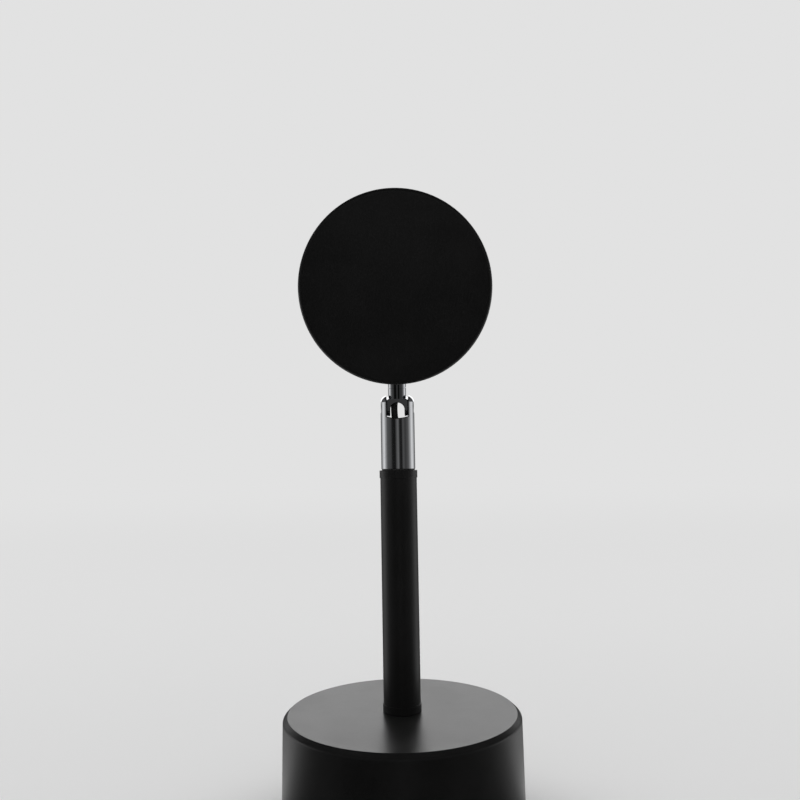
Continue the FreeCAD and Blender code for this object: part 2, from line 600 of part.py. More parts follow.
def make_swivel_sleeve():
    """The polished sleeve: tail below, domed top, slot for the neck, lead bore and sunk pivot holes."""
    body = rod(SLEEVE_RADIUS, SLEEVE_BOTTOM, SLEEVE_TOP)
    body = body.makeFillet(SLEEVE_DOME, circles(body, SLEEVE_RADIUS, SLEEVE_TOP))
    body = body.makeFillet(SLEEVE_FOOT_EDGE, circles(body, SLEEVE_RADIUS, SLEEVE_BOTTOM))
    across = SLEEVE_RADIUS + BELOW
    slot_floor = PIVOT_HEIGHT - SLOT_DROP
    slot = cross_rod(SLOT_CURVE, -across, across, Y, Vector(0, 0, slot_floor + SLOT_CURVE))
    slot = slot.common(block((-SLOT_HALF_WIDTH, -across, slot_floor - BELOW),
                             (SLOT_HALF_WIDTH, across, SLEEVE_TOP + BELOW)))
    body = body.cut(slot)
    body = body.makeChamfer(SLOT_EDGE, slot_mouth_edges(body))
    body = body.fuse(rod(SLEEVE_TAIL_RADIUS, TAIL_BOTTOM, SLEEVE_BOTTOM))
    groove = tube(SLEEVE_TAIL_RADIUS + BELOW, SLEEVE_TAIL_RADIUS - CLIP_GROOVE_DEPTH,
                  CLIP_TOP - CLIP_THICKNESS - CLIP_GAP, CLIP_TOP + CLIP_GAP)
    body = body.cut(groove).cut(rod(SLEEVE_BORE, TAIL_BOTTOM - BELOW, PIVOT_HEIGHT))
    pivot = Vector(0, 0, PIVOT_HEIGHT)
    body = body.cut(cross_rod(PIVOT_RADIUS + PIVOT_GAP, -across, across, X, pivot))
    for side in (X, -X):
        body = body.cut(cross_rod(PIVOT_HEAD_RADIUS + PIVOT_HEAD_GAP, PIVOT_HEAD_INNER, across, side, pivot))
    return body.removeSplitter()


def make_retaining_clip():
    """The open spring clip in the tail's groove, which keeps the sleeve in the post."""
    clip = tube(SLEEVE_TAIL_RADIUS + CLIP_REACH, SLEEVE_TAIL_RADIUS - CLIP_GROOVE_DEPTH + CLIP_GAP,
                CLIP_TOP - CLIP_THICKNESS, CLIP_TOP)
    mouth = block((-CLIP_MOUTH / 2, 0, CLIP_TOP - BELOW),
                  (CLIP_MOUTH / 2, 2 * SLEEVE_TAIL_RADIUS, CLIP_TOP + BELOW))
    return clip.cut(mouth)


def on_both_sides(made):
    """A piece drawn along Z, laid to either side of the pivot along X."""
    return Part.makeCompound([made.rotated(ORIGIN, Y, angle) for angle in (90, -90)])


def make_pivot_screws():
    """One short screw from each side, so that the middle stays open for the lead."""
    head = rod(PIVOT_HEAD_RADIUS, PIVOT_HEAD_INNER, PIVOT_HEAD_OUTER)
    head = head.makeChamfer(PIVOT_HEAD_EDGE, circles(head, PIVOT_HEAD_RADIUS, PIVOT_HEAD_OUTER))
    made = rod(PIVOT_RADIUS, WINDOW_HALF_WIDTH, PIVOT_HEAD_INNER).fuse(head)
    socket_floor = PIVOT_HEAD_OUTER - PIVOT_HEAD_THICKNESS * DRIVE_SHARE
    made = made.cut(hexagon(2 * DRIVE_RADIUS, socket_floor, PIVOT_HEAD_OUTER + BELOW))
    return on_both_sides(made.removeSplitter())


def make_friction_rings():
    """The thin rings between the sleeve's cheeks and the neck's fork."""
    return on_both_sides(tube(FRICTION_RING_RADIUS, PIVOT_RADIUS + PIVOT_GAP,
                              EYE_HALF_WIDTH, SLOT_HALF_WIDTH))


# ---------------------------------------------------------------- neck
def is_fore_and_aft(edge, level):
    """Whether the edge runs along Y at one level."""
    at_level = all(abs(vertex.Z - level) < TOUCH for vertex in edge.Vertexes)
    return at_level and abs(edge.tangentAt(edge.FirstParameter).y) > 1 - TOUCH


def fork_edges(fork):
    """The edges round the fork's outer sides and round the window's arch."""
    found = []
    for edge in fork.Edges:
        middle = edge.valueAt((edge.FirstParameter + edge.LastParameter) / 2)
        on_side = all(abs(abs(vertex.X) - EYE_HALF_WIDTH) < TOUCH for vertex in edge.Vertexes)
        below_chamfer = middle.z < EYE_TOP - EYE_CHAMFER - TOUCH
        from_arch = math.hypot(middle.x, middle.z - WINDOW_CENTRE) - WINDOW_HALF_WIDTH
        on_arch = abs(from_arch) < TOUCH and abs(abs(middle.y) - NECK_RADIUS) < TOUCH
        if (on_side and below_chamfer) or on_arch:
            found.append(edge)
    return found


def make_neck():
    """The forked neck: two pivoted cheeks, an arched window, the round neck and the hollow stud."""
    fork = cross_rod(NECK_RADIUS, -EYE_HALF_WIDTH, EYE_HALF_WIDTH, X)
    fork = fork.common(block((-EYE_HALF_WIDTH, -NECK_RADIUS, -NECK_RADIUS), (EYE_HALF_WIDTH, NECK_RADIUS, 0)))
    fork = fork.fuse(block((-EYE_HALF_WIDTH, -NECK_RADIUS, 0), (EYE_HALF_WIDTH, NECK_RADIUS, EYE_TOP)))
    fork = fork.removeSplitter()
    fork = fork.makeChamfer(EYE_CHAMFER, [edge for edge in fork.Edges if is_fore_and_aft(edge, EYE_TOP)])
    window = cross_rod(WINDOW_HALF_WIDTH, -2 * NECK_RADIUS, 2 * NECK_RADIUS, Y, Vector(0, 0, WINDOW_CENTRE))
    window = window.fuse(block((-WINDOW_HALF_WIDTH, -2 * NECK_RADIUS, -2 * NECK_RADIUS),
                               (WINDOW_HALF_WIDTH, 2 * NECK_RADIUS, WINDOW_CENTRE)))
    fork = fork.cut(window.removeSplitter()).removeSplitter()
    fork = fork.makeChamfer(EYE_EDGE, fork_edges(fork))
    neck = fork.fuse(rod(NECK_RADIUS, WINDOW_CENTRE + WINDOW_HALF_WIDTH + EYE_EDGE, NECK_SHOULDER))
    neck = neck.fuse(rod(STUD_RADIUS, NECK_SHOULDER, STUD_END))
    neck = neck.cut(rod(NECK_BORE, 0, STUD_END + BELOW))
    neck = neck.cut(cross_rod(PIVOT_RADIUS, -2 * NECK_RADIUS, 2 * NECK_RADIUS, X))
    return neck.removeSplitter()


def make_neck_seat():
    seat = tube(NECK_RADIUS, STUD_RADIUS + STUD_GAP, NECK_SHOULDER, HEAD_CENTRE - SEAT_FLAT)
    return seat.makeChamfer(SEAT_EDGE, circles(seat, NECK_RADIUS))


def make_neck_washer():
    level = HEAD_CENTRE - NECK_PAD_LEVEL
    return tube(NECK_WASHER_RADIUS, STUD_RADIUS + STUD_GAP, level, level + NECK_WASHER_THICKNESS)


def make_neck_nut():
    level = HEAD_CENTRE - NECK_PAD_LEVEL + NECK_WASHER_THICKNESS
    nut = hexagon(NECK_NUT_ACROSS, level, level + NECK_NUT_HEIGHT)
    return nut.cut(rod(STUD_RADIUS + STUD_GAP, 0, STUD_END + BELOW))


# ---------------------------------------------------------------- head
def barrel_screw_points():
    return [(BARREL_SCREW_CIRCLE * math.cos(math.radians(a)), BARREL_SCREW_CIRCLE * math.sin(math.radians(a)))
            for a in BARREL_SCREW_ANGLES]


def make_head_shell():
    """The drum: flat rear with a rounded edge, rebate and snap groove in front, neck flat and bosses."""
    inner = HEAD_RADIUS - HEAD_WALL
    drum = rod(HEAD_RADIUS, -HEAD_REAR, HEAD_FRONT)
    drum = drum.makeFillet(HEAD_EDGE, circles(drum, HEAD_RADIUS, -HEAD_REAR))
    drum = drum.makeFillet(HEAD_RIM_EDGE, circles(drum, HEAD_RADIUS, HEAD_FRONT))
    drum = drum.cut(rod(inner, REAR_INSIDE, HEAD_FRONT + BELOW))
    drum = drum.cut(rod(COVER_RADIUS + COVER_GAP, COVER_BACK, HEAD_FRONT + BELOW))
    drum = drum.cut(rod(SKIRT_RADIUS + BEAD_HEIGHT + BEAD_GAP, BEAD_LEVEL - BEAD_WIDTH / 2 - BEAD_GAP,
                        BEAD_LEVEL + BEAD_WIDTH / 2 + BEAD_GAP))
    for x, y in barrel_screw_points():
        drum = drum.fuse(rod(BARREL_BOSS_RADIUS, REAR_INSIDE - HEAD_REAR_THICKNESS / 2, BULKHEAD_BACK, x, y))
    pad = cross_rod(NECK_PAD_RADIUS, NECK_PAD_LEVEL, HEAD_RADIUS - HEAD_WALL / 2, -Y)
    drum = drum.fuse(pad.common(rod(HEAD_RADIUS - HEAD_WALL / 2, -HEAD_REAR, HEAD_FRONT)))
    drum = drilled(drum, barrel_screw_points(), BARREL_SCREW_RADIUS + SCREW_GAP,
                   REAR_INSIDE, BULKHEAD_BACK + BELOW)
    flat = block((-HEAD_RADIUS, -HEAD_RADIUS - BELOW, -SEAT_RADIUS), (HEAD_RADIUS, -SEAT_FLAT, SEAT_RADIUS))
    drum = drum.cut(flat)
    drum = drum.cut(cross_rod(STUD_RADIUS + STUD_GAP, NECK_PAD_LEVEL - BELOW, HEAD_RADIUS + BELOW, -Y))
    return drum.removeSplitter()


def make_front_cover():
    """The front plate with its snap skirt, the proud lens ring and the socket for lens and barrel."""
    socket = LENS_RADIUS + LENS_GAP
    ring = rod(LENS_RING_RADIUS, COVER_BACK, RING_FACE)
    ring = ring.makeFillet(LENS_RING_EDGE, circles(ring, LENS_RING_RADIUS, RING_FACE))
    plate = rod(COVER_RADIUS, COVER_BACK, COVER_FACE)
    cover = plate.makeFillet(COVER_EDGE, circles(plate, COVER_RADIUS, COVER_FACE)).fuse(ring)
    bore = SKIRT_RADIUS - SKIRT_WALL
    cover = cover.fuse(tube(SKIRT_RADIUS, bore, COVER_BACK - SKIRT_LENGTH, COVER_BACK))
    cover = cover.fuse(tube(SKIRT_RADIUS + BEAD_HEIGHT, bore, BEAD_LEVEL - BEAD_WIDTH / 2,
                            BEAD_LEVEL + BEAD_WIDTH / 2))
    cover = cover.fuse(rod(socket + SEAT_BOSS_WALL, COVER_BACK - SEAT_BOSS_DEPTH, COVER_BACK))
    cover = cover.cut(rod(socket, COVER_BACK - SKIRT_LENGTH - BELOW, LIP_START))
    lip = Part.makeCone(LIP_START_RADIUS, LIP_END_RADIUS, RING_FACE - LIP_START, Vector(0, 0, LIP_START), Z)
    return cover.cut(lip).removeSplitter()


def make_lens():
    """The plano-convex projection lens."""
    shoulder = LENS_BACK + LENS_EDGE
    centre = shoulder - math.sqrt(LENS_CURVE ** 2 - LENS_RADIUS ** 2)
    ball = Part.makeSphere(LENS_CURVE, Vector(0, 0, centre))
    return ball.common(rod(LENS_RADIUS, LENS_BACK, centre + LENS_CURVE + BELOW))


def make_lens_gasket():
    return tube(GASKET_OUTER, GASKET_INNER, BARREL_FRONT, LENS_BACK)


def barrel_bore(level):
    """Inner radius of the barrel's cone at a level."""
    share = (level - BULKHEAD_FACE) / (CONE_FRONT - BULKHEAD_FACE)
    return BARREL_REAR_INNER + (BARREL_RADIUS - BARREL_WALL - BARREL_REAR_INNER) * share


def make_lens_barrel():
    """The matt inner barrel: a front tube, a cone back to the LED, and the bulkhead with its screw holes."""
    board_hole = LED_BOARD_RADIUS + LED_BOARD_GAP
    barrel = turned([
        (barrel_bore(CONE_FRONT), BARREL_FRONT), (BARREL_RADIUS, BARREL_FRONT), (BARREL_RADIUS, CONE_FRONT),
        (BARREL_REAR_OUTER, BULKHEAD_FACE), (BULKHEAD_RADIUS, BULKHEAD_FACE),
        (BULKHEAD_RADIUS, BULKHEAD_BACK), (board_hole, BULKHEAD_BACK), (board_hole, BULKHEAD_FACE),
        (BARREL_REAR_INNER, BULKHEAD_FACE), (barrel_bore(CONE_FRONT), CONE_FRONT)])
    barrel = drilled(barrel, barrel_screw_points(), BARREL_SCREW_RADIUS + HOLE_GAP,
                     BULKHEAD_BACK - BELOW, BULKHEAD_FACE + BELOW)
    notch = block((-BULKHEAD_NOTCH, -BULKHEAD_RADIUS - BELOW, BULKHEAD_BACK - BELOW),
                  (BULKHEAD_NOTCH, -BULKHEAD_NOTCH_LEVEL, BULKHEAD_FACE + BELOW))
    barrel = barrel.cut(notch)
    for x, y in driver_post_points():
        barrel = barrel.fuse(rod(DRIVER_POST_RADIUS, BULKHEAD_FACE, DRIVER_BACK, x, y))
    around_strand = STRAND_RADIUS + STRAND_GAP
    half = STRAND_OFFSET + around_strand
    channel = block((0, -half, LED_BOARD_FACE),
                    (STRAND_REACH + around_strand, half, STRAND_LEVEL + around_strand))
    return barrel.cut(channel).removeSplitter()


def make_barrel_screws():
    made = screw(BARREL_SCREW_RADIUS, BARREL_SCREW_LENGTH, BARREL_SCREW_HEAD_RADIUS,
                 BARREL_SCREW_HEAD_HEIGHT)
    return screws_at(barrel_screw_points(), BULKHEAD_FACE, head_up(made))


def make_colour_filter():
    return rod(FILTER_RADIUS, FILTER_BACK, FILTER_BACK + FILTER_THICKNESS)


def make_filter_ring():
    front = FILTER_BACK + FILTER_THICKNESS
    outer = FILTER_RADIUS + FILTER_RING_OVERSIZE
    return tube(outer, outer - FILTER_RING_WIDTH, front, front + FILTER_RING_THICKNESS)


def make_heat_sink():
    """The aluminium disc behind the LED, slotted round its edge."""
    sink = rod(SINK_RADIUS, SINK_BACK, BULKHEAD_BACK)
    for k in range(SINK_SLOTS):
        slot = block((SINK_RADIUS - SINK_SLOT_DEPTH, -SINK_SLOT_WIDTH / 2, SINK_BACK - BELOW),
                     (SINK_RADIUS + BELOW, SINK_SLOT_WIDTH / 2, BULKHEAD_BACK + BELOW))
        slot.rotate(ORIGIN, Z, 360.0 * (k + 0.5) / SINK_SLOTS)
        sink = sink.cut(slot)
    hole_end = LED_BOARD_FACE - LED_SCREW_LENGTH - 2 * LED_SCREW_RADIUS
    return drilled(sink, LED_SCREW_POINTS, LED_SCREW_RADIUS + SCREW_GAP, hole_end, BULKHEAD_BACK + BELOW)


def make_thermal_pad():
    return rod(THERMAL_PAD_RADIUS, REAR_INSIDE, SINK_BACK)


def make_led_board():
    return drilled(rod(LED_BOARD_RADIUS, BULKHEAD_BACK, LED_BOARD_FACE), LED_SCREW_POINTS,
                   LED_SCREW_RADIUS + HOLE_GAP, BULKHEAD_BACK - BELOW, LED_BOARD_FACE + BELOW)


def make_led_emitter():
    """The LED: a square package with a clear dome."""
    half = LED_CHIP_SIDE / 2
    top = LED_BOARD_FACE + LED_CHIP_THICKNESS
    package = block((-half, -half, LED_BOARD_FACE), (half, half, top))
    curve = (LED_DOME_RADIUS ** 2 + LED_DOME_HEIGHT ** 2) / (2 * LED_DOME_HEIGHT)
    ball = Part.makeSphere(curve, Vector(0, 0, top + LED_DOME_HEIGHT - curve))
    dome = ball.common(rod(LED_DOME_RADIUS, top - LED_CHIP_THICKNESS / 2, top + LED_DOME_HEIGHT + BELOW))
    return package.fuse(dome).removeSplitter()


def make_led_screws():
    made = screw(LED_SCREW_RADIUS, LED_SCREW_LENGTH, LED_SCREW_HEAD_RADIUS, LED_SCREW_HEAD_HEIGHT)
    return screws_at(LED_SCREW_POINTS, LED_BOARD_FACE, head_up(made))


def driver_post_points():
    across = DRIVER_INNER_EDGE + DRIVER_WIDTH / 2
    along = DRIVER_LENGTH / 2 - DRIVER_POST_RADIUS
    return [(across, -along), (across, along)]


def make_driver_board():
    """The small circuit board on its two posts."""
    return block((DRIVER_INNER_EDGE, -DRIVER_LENGTH / 2, DRIVER_BACK),
                 (DRIVER_INNER_EDGE + DRIVER_WIDTH, DRIVER_LENGTH / 2, DRIVER_FACE))


def make_driver_parts():
    """The choke and the chip on the driver board."""
    middle = DRIVER_INNER_EDGE + DRIVER_WIDTH / 2
    choke_y = DRIVER_LENGTH / 4
    choke = block((middle - CHOKE_SIDE / 2, choke_y - CHOKE_SIDE / 2, DRIVER_FACE),
                  (middle + CHOKE_SIDE / 2, choke_y + CHOKE_SIDE / 2, DRIVER_FACE + CHOKE_HEIGHT))
    chip = block((middle - CHIP_WIDTH / 2, -CHIP_LENGTH / 2 - CHIP_SHIFT, DRIVER_FACE),
                 (middle + CHIP_WIDTH / 2, CHIP_LENGTH / 2 - CHIP_SHIFT, DRIVER_FACE + CHIP_HEIGHT))
    return Part.makeCompound([choke, chip])


def make_led_strands():
    """The two thin strands from the driver board to the LED board."""
    strands = []
    for side in (-STRAND_OFFSET, STRAND_OFFSET):
        run = Part.LineSegment(Vector(STRAND_END, side, STRAND_LEVEL),
                               Vector(STRAND_REACH - STRAND_BEND, side, STRAND_LEVEL)).toShape()
        diagonal = STRAND_BEND * (1 - math.cos(math.radians(45)))
        bend = Part.Arc(Vector(STRAND_REACH - STRAND_BEND, side, STRAND_LEVEL),
                        Vector(STRAND_REACH - diagonal, side, STRAND_LEVEL + diagonal),
                        Vector(STRAND_REACH, side, STRAND_LEVEL + STRAND_BEND)).toShape()
        rise = Part.LineSegment(Vector(STRAND_REACH, side, STRAND_LEVEL + STRAND_BEND),
                                Vector(STRAND_REACH, side, DRIVER_BACK)).toShape()
        section = Part.Wire(Part.makeCircle(STRAND_RADIUS, Vector(STRAND_END, side, STRAND_LEVEL), X))
        strands.append(Part.Wire([run, bend, rise]).makePipeShell([section], True, True))
    return Part.makeCompound(strands)


# ---------------------------------------------------------------- lead
def make_lead_in_base():
    """From the splice through the clamp, across the base and up through the post."""
    return lead([(0, LEAD_START, LEAD_LEVEL), (0, LEAD_BEND, LEAD_LEVEL), (0, 0, LEAD_LEVEL + LEAD_BEND),
                 (0, 0, TAIL_BOTTOM)])


def make_lead_splice():
    """The heat-shrink sleeve over the soldered end."""
    return cross_rod(SPLICE_RADIUS, LEAD_START, LEAD_START + SPLICE_LENGTH, Y, Vector(0, 0, LEAD_LEVEL))


def make_lead_in_sleeve():
    return rod(LEAD_RADIUS, TAIL_BOTTOM, PIVOT_HEIGHT - LEAD_JOIN_BELOW_PIVOT)


def make_lead_in_joint():
    """The stretch that flexes: it bows to one side in the window and follows the neck."""
    below = [(x, 0, PIVOT_HEIGHT + level) for x, level in LEAD_POINTS_BELOW_PIVOT]
    above = [from_neck(x, level) for x, level in LEAD_POINTS_IN_NECK]
    return lead([(0, 0, PIVOT_HEIGHT - LEAD_JOIN_BELOW_PIVOT), *below, *above,
                 from_neck(0, LEAD_JOIN_ABOVE_PIVOT)])


def make_lead_in_head():
    """From the neck's stud round the barrel to the driver board, in the optical frame."""
    end_x = DRIVER_INNER_EDGE + DRIVER_WIDTH / 2
    end_level = DRIVER_FACE + LEAD_RADIUS
    return lead([(0, -HEAD_CENTRE + LEAD_JOIN_ABOVE_PIVOT, 0), (0, -HEAD_CENTRE + STUD_END, 0),
                 *LEAD_POINTS_IN_HEAD, (end_x, -DRIVER_LENGTH / 2 - LEAD_END_APPROACH, end_level),
                 (end_x, -DRIVER_LENGTH / 2 + LEAD_END_REACH, end_level)])


# ---------------------------------------------------------------- everything, by node
def in_place(shape, placement):
    """The shape moved from its drawing frame into the lamp's frame."""
    moved = shape.copy()
    moved.Placement = placement.multiply(moved.Placement)
    return moved


LAMP_FRAME = {
    "base_shell": make_base_shell,
    "base_weight": make_base_weight,
    "base_plate": make_base_plate,
    "base_screws": make_base_screws,
    "foot_pad": make_foot_pad,
    "stem": make_stem,
    "stem_nut": make_stem_nut,
    "stem_washer": make_stem_washer,
    "cable_gland": make_cable_gland,
    "lead_clamp": make_lead_clamp,
    "clamp_screws": make_clamp_screws,
    "foot_ferrule": make_foot_ferrule,
    "post_tube": make_post_tube,
    "swivel_bush": make_swivel_bush,
    "glide_washer": make_glide_washer,
    "swivel_sleeve": make_swivel_sleeve,
    "retaining_clip": make_retaining_clip,
    "lead_in_base": make_lead_in_base,
    "lead_splice": make_lead_splice,
    "lead_in_sleeve": make_lead_in_sleeve,
    "lead_in_joint": make_lead_in_joint,
}
NECK_FRAME = {
    "pivot_screws": make_pivot_screws,
    "friction_rings": make_friction_rings,
    "neck": make_neck,
    "neck_seat": make_neck_seat,
    "neck_washer": make_neck_washer,
    "neck_nut": make_neck_nut,
}
OPTICAL_FRAME = {
    "head_shell": make_head_shell,
    "front_cover": make_front_cover,
    "lens": make_lens,
    "lens_gasket": make_lens_gasket,
    "lens_barrel": make_lens_barrel,
    "barrel_screws": make_barrel_screws,
    "colour_filter": make_colour_filter,
    "filter_ring": make_filter_ring,
    "heat_sink": make_heat_sink,
    "thermal_pad": make_thermal_pad,
    "led_board": make_led_board,
    "led_emitter": make_led_emitter,
    "led_screws": make_led_screws,
    "driver_board": make_driver_board,
    "driver_parts": make_driver_parts,
    "led_strands": make_led_strands,
    "lead_in_head": make_lead_in_head,
}


def main():
    os.makedirs("parts", exist_ok=True)
    frames = ((LAMP_FRAME, Placement()), (NECK_FRAME, NECK_PLACE), (OPTICAL_FRAME, OPTICAL_PLACE))
    for makers, placement in frames:
        for name, make in makers.items():
            shape = in_place(make(), placement)
            if not shape.isValid() or not shape.Solids:
                print("NOT A VALID SOLID:", name)
            shape.exportStep("parts/%s.step" % name)
            box = shape.BoundBox
            print("%-16s %2d solids %10.1f mm3  z %7.2f to %7.2f" % (name, len(shape.Solids), shape.Volume,
                                                                    box.ZMin, box.ZMax))


main()
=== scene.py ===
"""A small projection lamp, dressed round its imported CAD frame.

The solids keep their shapes and get their finishes here. What a rigid solid can't show well is modelled
here: the cable that flexes in the swivel joint, the ground lens and the moulded foot pad.
"""

import json
import logging
import math
from dataclasses import dataclass
from enum import Enum
from functools import cached_property
from typing import ClassVar

import bmesh
import bpy
from mathutils import Euler, Matrix, Vector

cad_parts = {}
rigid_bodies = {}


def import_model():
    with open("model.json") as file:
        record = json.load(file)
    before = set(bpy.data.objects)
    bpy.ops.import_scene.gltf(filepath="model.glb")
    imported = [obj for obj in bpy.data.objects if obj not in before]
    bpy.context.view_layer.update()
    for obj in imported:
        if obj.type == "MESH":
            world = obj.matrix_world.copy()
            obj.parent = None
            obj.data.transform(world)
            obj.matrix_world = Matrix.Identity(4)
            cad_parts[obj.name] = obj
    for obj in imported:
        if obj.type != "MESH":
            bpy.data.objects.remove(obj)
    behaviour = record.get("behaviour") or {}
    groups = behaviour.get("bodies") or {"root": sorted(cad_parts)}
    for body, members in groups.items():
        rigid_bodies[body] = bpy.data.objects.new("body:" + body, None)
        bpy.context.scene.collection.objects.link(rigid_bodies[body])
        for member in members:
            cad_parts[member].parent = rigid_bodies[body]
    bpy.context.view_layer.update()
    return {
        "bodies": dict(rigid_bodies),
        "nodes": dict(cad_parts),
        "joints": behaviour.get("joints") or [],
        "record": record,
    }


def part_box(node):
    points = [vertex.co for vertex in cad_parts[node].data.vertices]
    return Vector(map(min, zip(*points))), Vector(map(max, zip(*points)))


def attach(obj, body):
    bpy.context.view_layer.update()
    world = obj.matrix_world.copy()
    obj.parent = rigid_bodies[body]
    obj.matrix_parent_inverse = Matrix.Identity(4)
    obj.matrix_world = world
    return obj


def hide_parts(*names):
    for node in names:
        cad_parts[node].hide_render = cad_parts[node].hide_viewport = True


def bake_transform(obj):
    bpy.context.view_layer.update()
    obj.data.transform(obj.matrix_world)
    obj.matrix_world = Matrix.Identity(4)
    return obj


LOG = logging.getLogger("lamp")
TURN = 2 * math.pi
ROUND_STEPS = 96                # segments of a plain full turn
MERGE_GAP = 1e-7                # points closer than this become one, in metres
SHARP_FROM = math.radians(32)   # the least angle of a sharp edge
DIVISION_GUARD = 1e-4           # keeps a divisor from zero

Point = tuple[float, float, float]
Colour = tuple[float, float, float]
Profile = list[tuple[float, float]]
Piece = bpy.types.Object
Socket = bpy.types.NodeSocket
Value = float | Colour | Socket


def grey(level: float) -> Colour:
    """A neutral colour of that level."""
    return (level, level, level)


def dimmed(colour: Colour, share: float) -> Colour:
    """The share of a colour's brightness."""
    return tuple(part * share for part in colour)


# --- frame


@dataclass(frozen=True)
class Places:
    """Where the lamp's axes are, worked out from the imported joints.

    Args:
        pivot: the middle of the tilt joint.
        beam_rise: how far the beam points above the level, in radians.
        head_reach: from the pivot to the middle of the head's drum, in metres.
    """

    pivot: Vector
    beam_rise: float
    head_reach: float = 0.0465

    @classmethod
    def of(cls, frame: dict) -> "Places":
        """Works the places out: the tilt's upper limit points the lens straight up."""
        tilt = next(joint for joint in frame["joints"] if joint["name"] == "tilt")
        return cls(Vector(tilt["pos_m"]), math.pi / 2 - math.radians(tilt["range_deg"][1]))

    @property
    def neck(self) -> Matrix:
        """From the neck's own frame, with its middle line along Z, to the lamp's."""
        return Matrix.Translation(self.pivot) @ Matrix.Rotation(-self.beam_rise, 4, "X")

    @property
    def optics(self) -> Matrix:
        """From the optical frame, with the beam along Z, to the lamp's."""
        return self.neck @ Matrix.Translation((0, 0, self.head_reach)) @ Matrix.Rotation(math.pi / 2, 4, "X")


# --- nodes


class Sheet:
    """Adds nodes to one node tree and joins them by the names or numbers of their sockets."""

    def __init__(self, tree: bpy.types.NodeTree) -> None:
        """Starts on a tree, which is emptied."""
        self.tree = tree
        tree.nodes.clear()

    def add(self, kind: str, values: dict[int | str, Value] | None = None,
            **settings: object) -> bpy.types.Node:
        """Adds a node.

        Args:
            kind: the node's Blender type.
            values: what each input gets, by its name or number.
            settings: the node's own properties.

        Returns:
            The node.
        """
        node = self.tree.nodes.new(kind)
        for name, setting in settings.items():
            setattr(node, name, setting)
        for name, value in (values or {}).items():
            socket = node.inputs[name]
            if isinstance(value, Socket):
                self.tree.links.new(value, socket)
            else:
                socket.default_value = (*value, 1.0) if socket.type == "RGBA" else value
        return node

    def math(self, operation: str, first: Value, second: Value = 0.0, clamp: bool = False) -> Socket:
        """Joins two numbers by a Math node, whose result can be kept from 0 to 1."""
        node = self.add("ShaderNodeMath", {0: first, 1: second}, operation=operation, use_clamp=clamp)
        return node.outputs[0]

    def times(self, first: Value, second: Value, clamp: bool = False) -> Socket:
        """The product of two numbers."""
        return self.math("MULTIPLY", first, second, clamp)

    def plus(self, first: Value, second: Value, share: Value = 1.0, clamp: bool = False) -> Socket:
        """The sum of a number and another one's share."""
        part = second if share == 1.0 else self.times(second, share)
        return self.math("ADD", first, part, clamp)

    def rest(self, share: Value) -> Socket:
        """What a share leaves of 1."""
        return self.math("SUBTRACT", 1.0, share)

    def length(self, vector: Value) -> Socket:
        """How long a vector is."""
        return self.add("ShaderNodeVectorMath", {0: vector}, operation="LENGTH").outputs["Value"]

    def ramp(self, value: Value, low: float = 0.3, high: float = 0.7, to_low: float = 0.0,
             to_high: float = 1.0) -> Socket:
        """Stretches the range from low to high to another one, smoothly and without passing its ends."""
        values = {"Value": value, "From Min": low, "From Max": high, "To Min": to_low, "To Max": to_high}
        return self.add("ShaderNodeMapRange", values, interpolation_type="SMOOTHSTEP").outputs["Result"]

    def mix(self, share: Value, first: Value, second: Value) -> Socket:
        """Mixes two colours, with the share of the second."""
        return self.add("ShaderNodeMix", {0: share, 6: first, 7: second}, data_type="RGBA").outputs[2]

    def colours(self, share: Value, stops: tuple[tuple[float, Colour], ...]) -> Socket:
        """Runs through a row of colours.

        Args:
            share: the place in the row, from 0 to 1.
            stops: the colours, each after its place.

        Returns:
            The colour at that place.
        """
        ramp = self.add("ShaderNodeValToRGB", {"Fac": share})
        elements = ramp.color_ramp.elements
        for element, (place, colour) in zip((elements[0], elements[1]), (stops[0], stops[-1])):
            element.position = place
            element.color = (*colour, 1.0)
        for place, colour in stops[1:-1]:
            elements.new(place).color = (*colour, 1.0)
        return ramp.outputs["Color"]

    def place(self) -> Socket:
        """The point on the piece, in metres."""
        return self.add("ShaderNodeTexCoord").outputs["Object"]

    def noise(self, scale: Value, detail: float, rough: float, stretch: Point | None = None) -> Socket:
        """Noise on the piece, from 0 to 1 with its middle near 0.5.

        Args:
            scale: how many waves there are to a metre.
            detail: how many finer layers it has.
            rough: how strong these are.
            stretch: the scale along X, Y and Z, where they differ.

        Returns:
            The noise.
        """
        point = self.place()
        if stretch:
            point = self.add("ShaderNodeMapping", {"Vector": point, "Scale": stretch}).outputs["Vector"]
        values = {"Vector": point, "Scale": scale, "Detail": detail, "Roughness": rough}
        return self.add("ShaderNodeTexNoise", values).outputs["Fac"]

    def bump(self, height: Value, depth: float) -> Socket:
        """The normal of a surface that a height from 0 to 1 shapes, over a depth in metres."""
        return self.add("ShaderNodeBump", {"Height": height, "Distance": depth}).outputs["Normal"]

    def use(self, effect: type["Effect"], values: dict[str, Value]) -> bpy.types.bpy_prop_collection:
        """Adds an effect with its own values, and returns its outputs."""
        return self.add("ShaderNodeGroup", values, node_tree=effect().tree).outputs


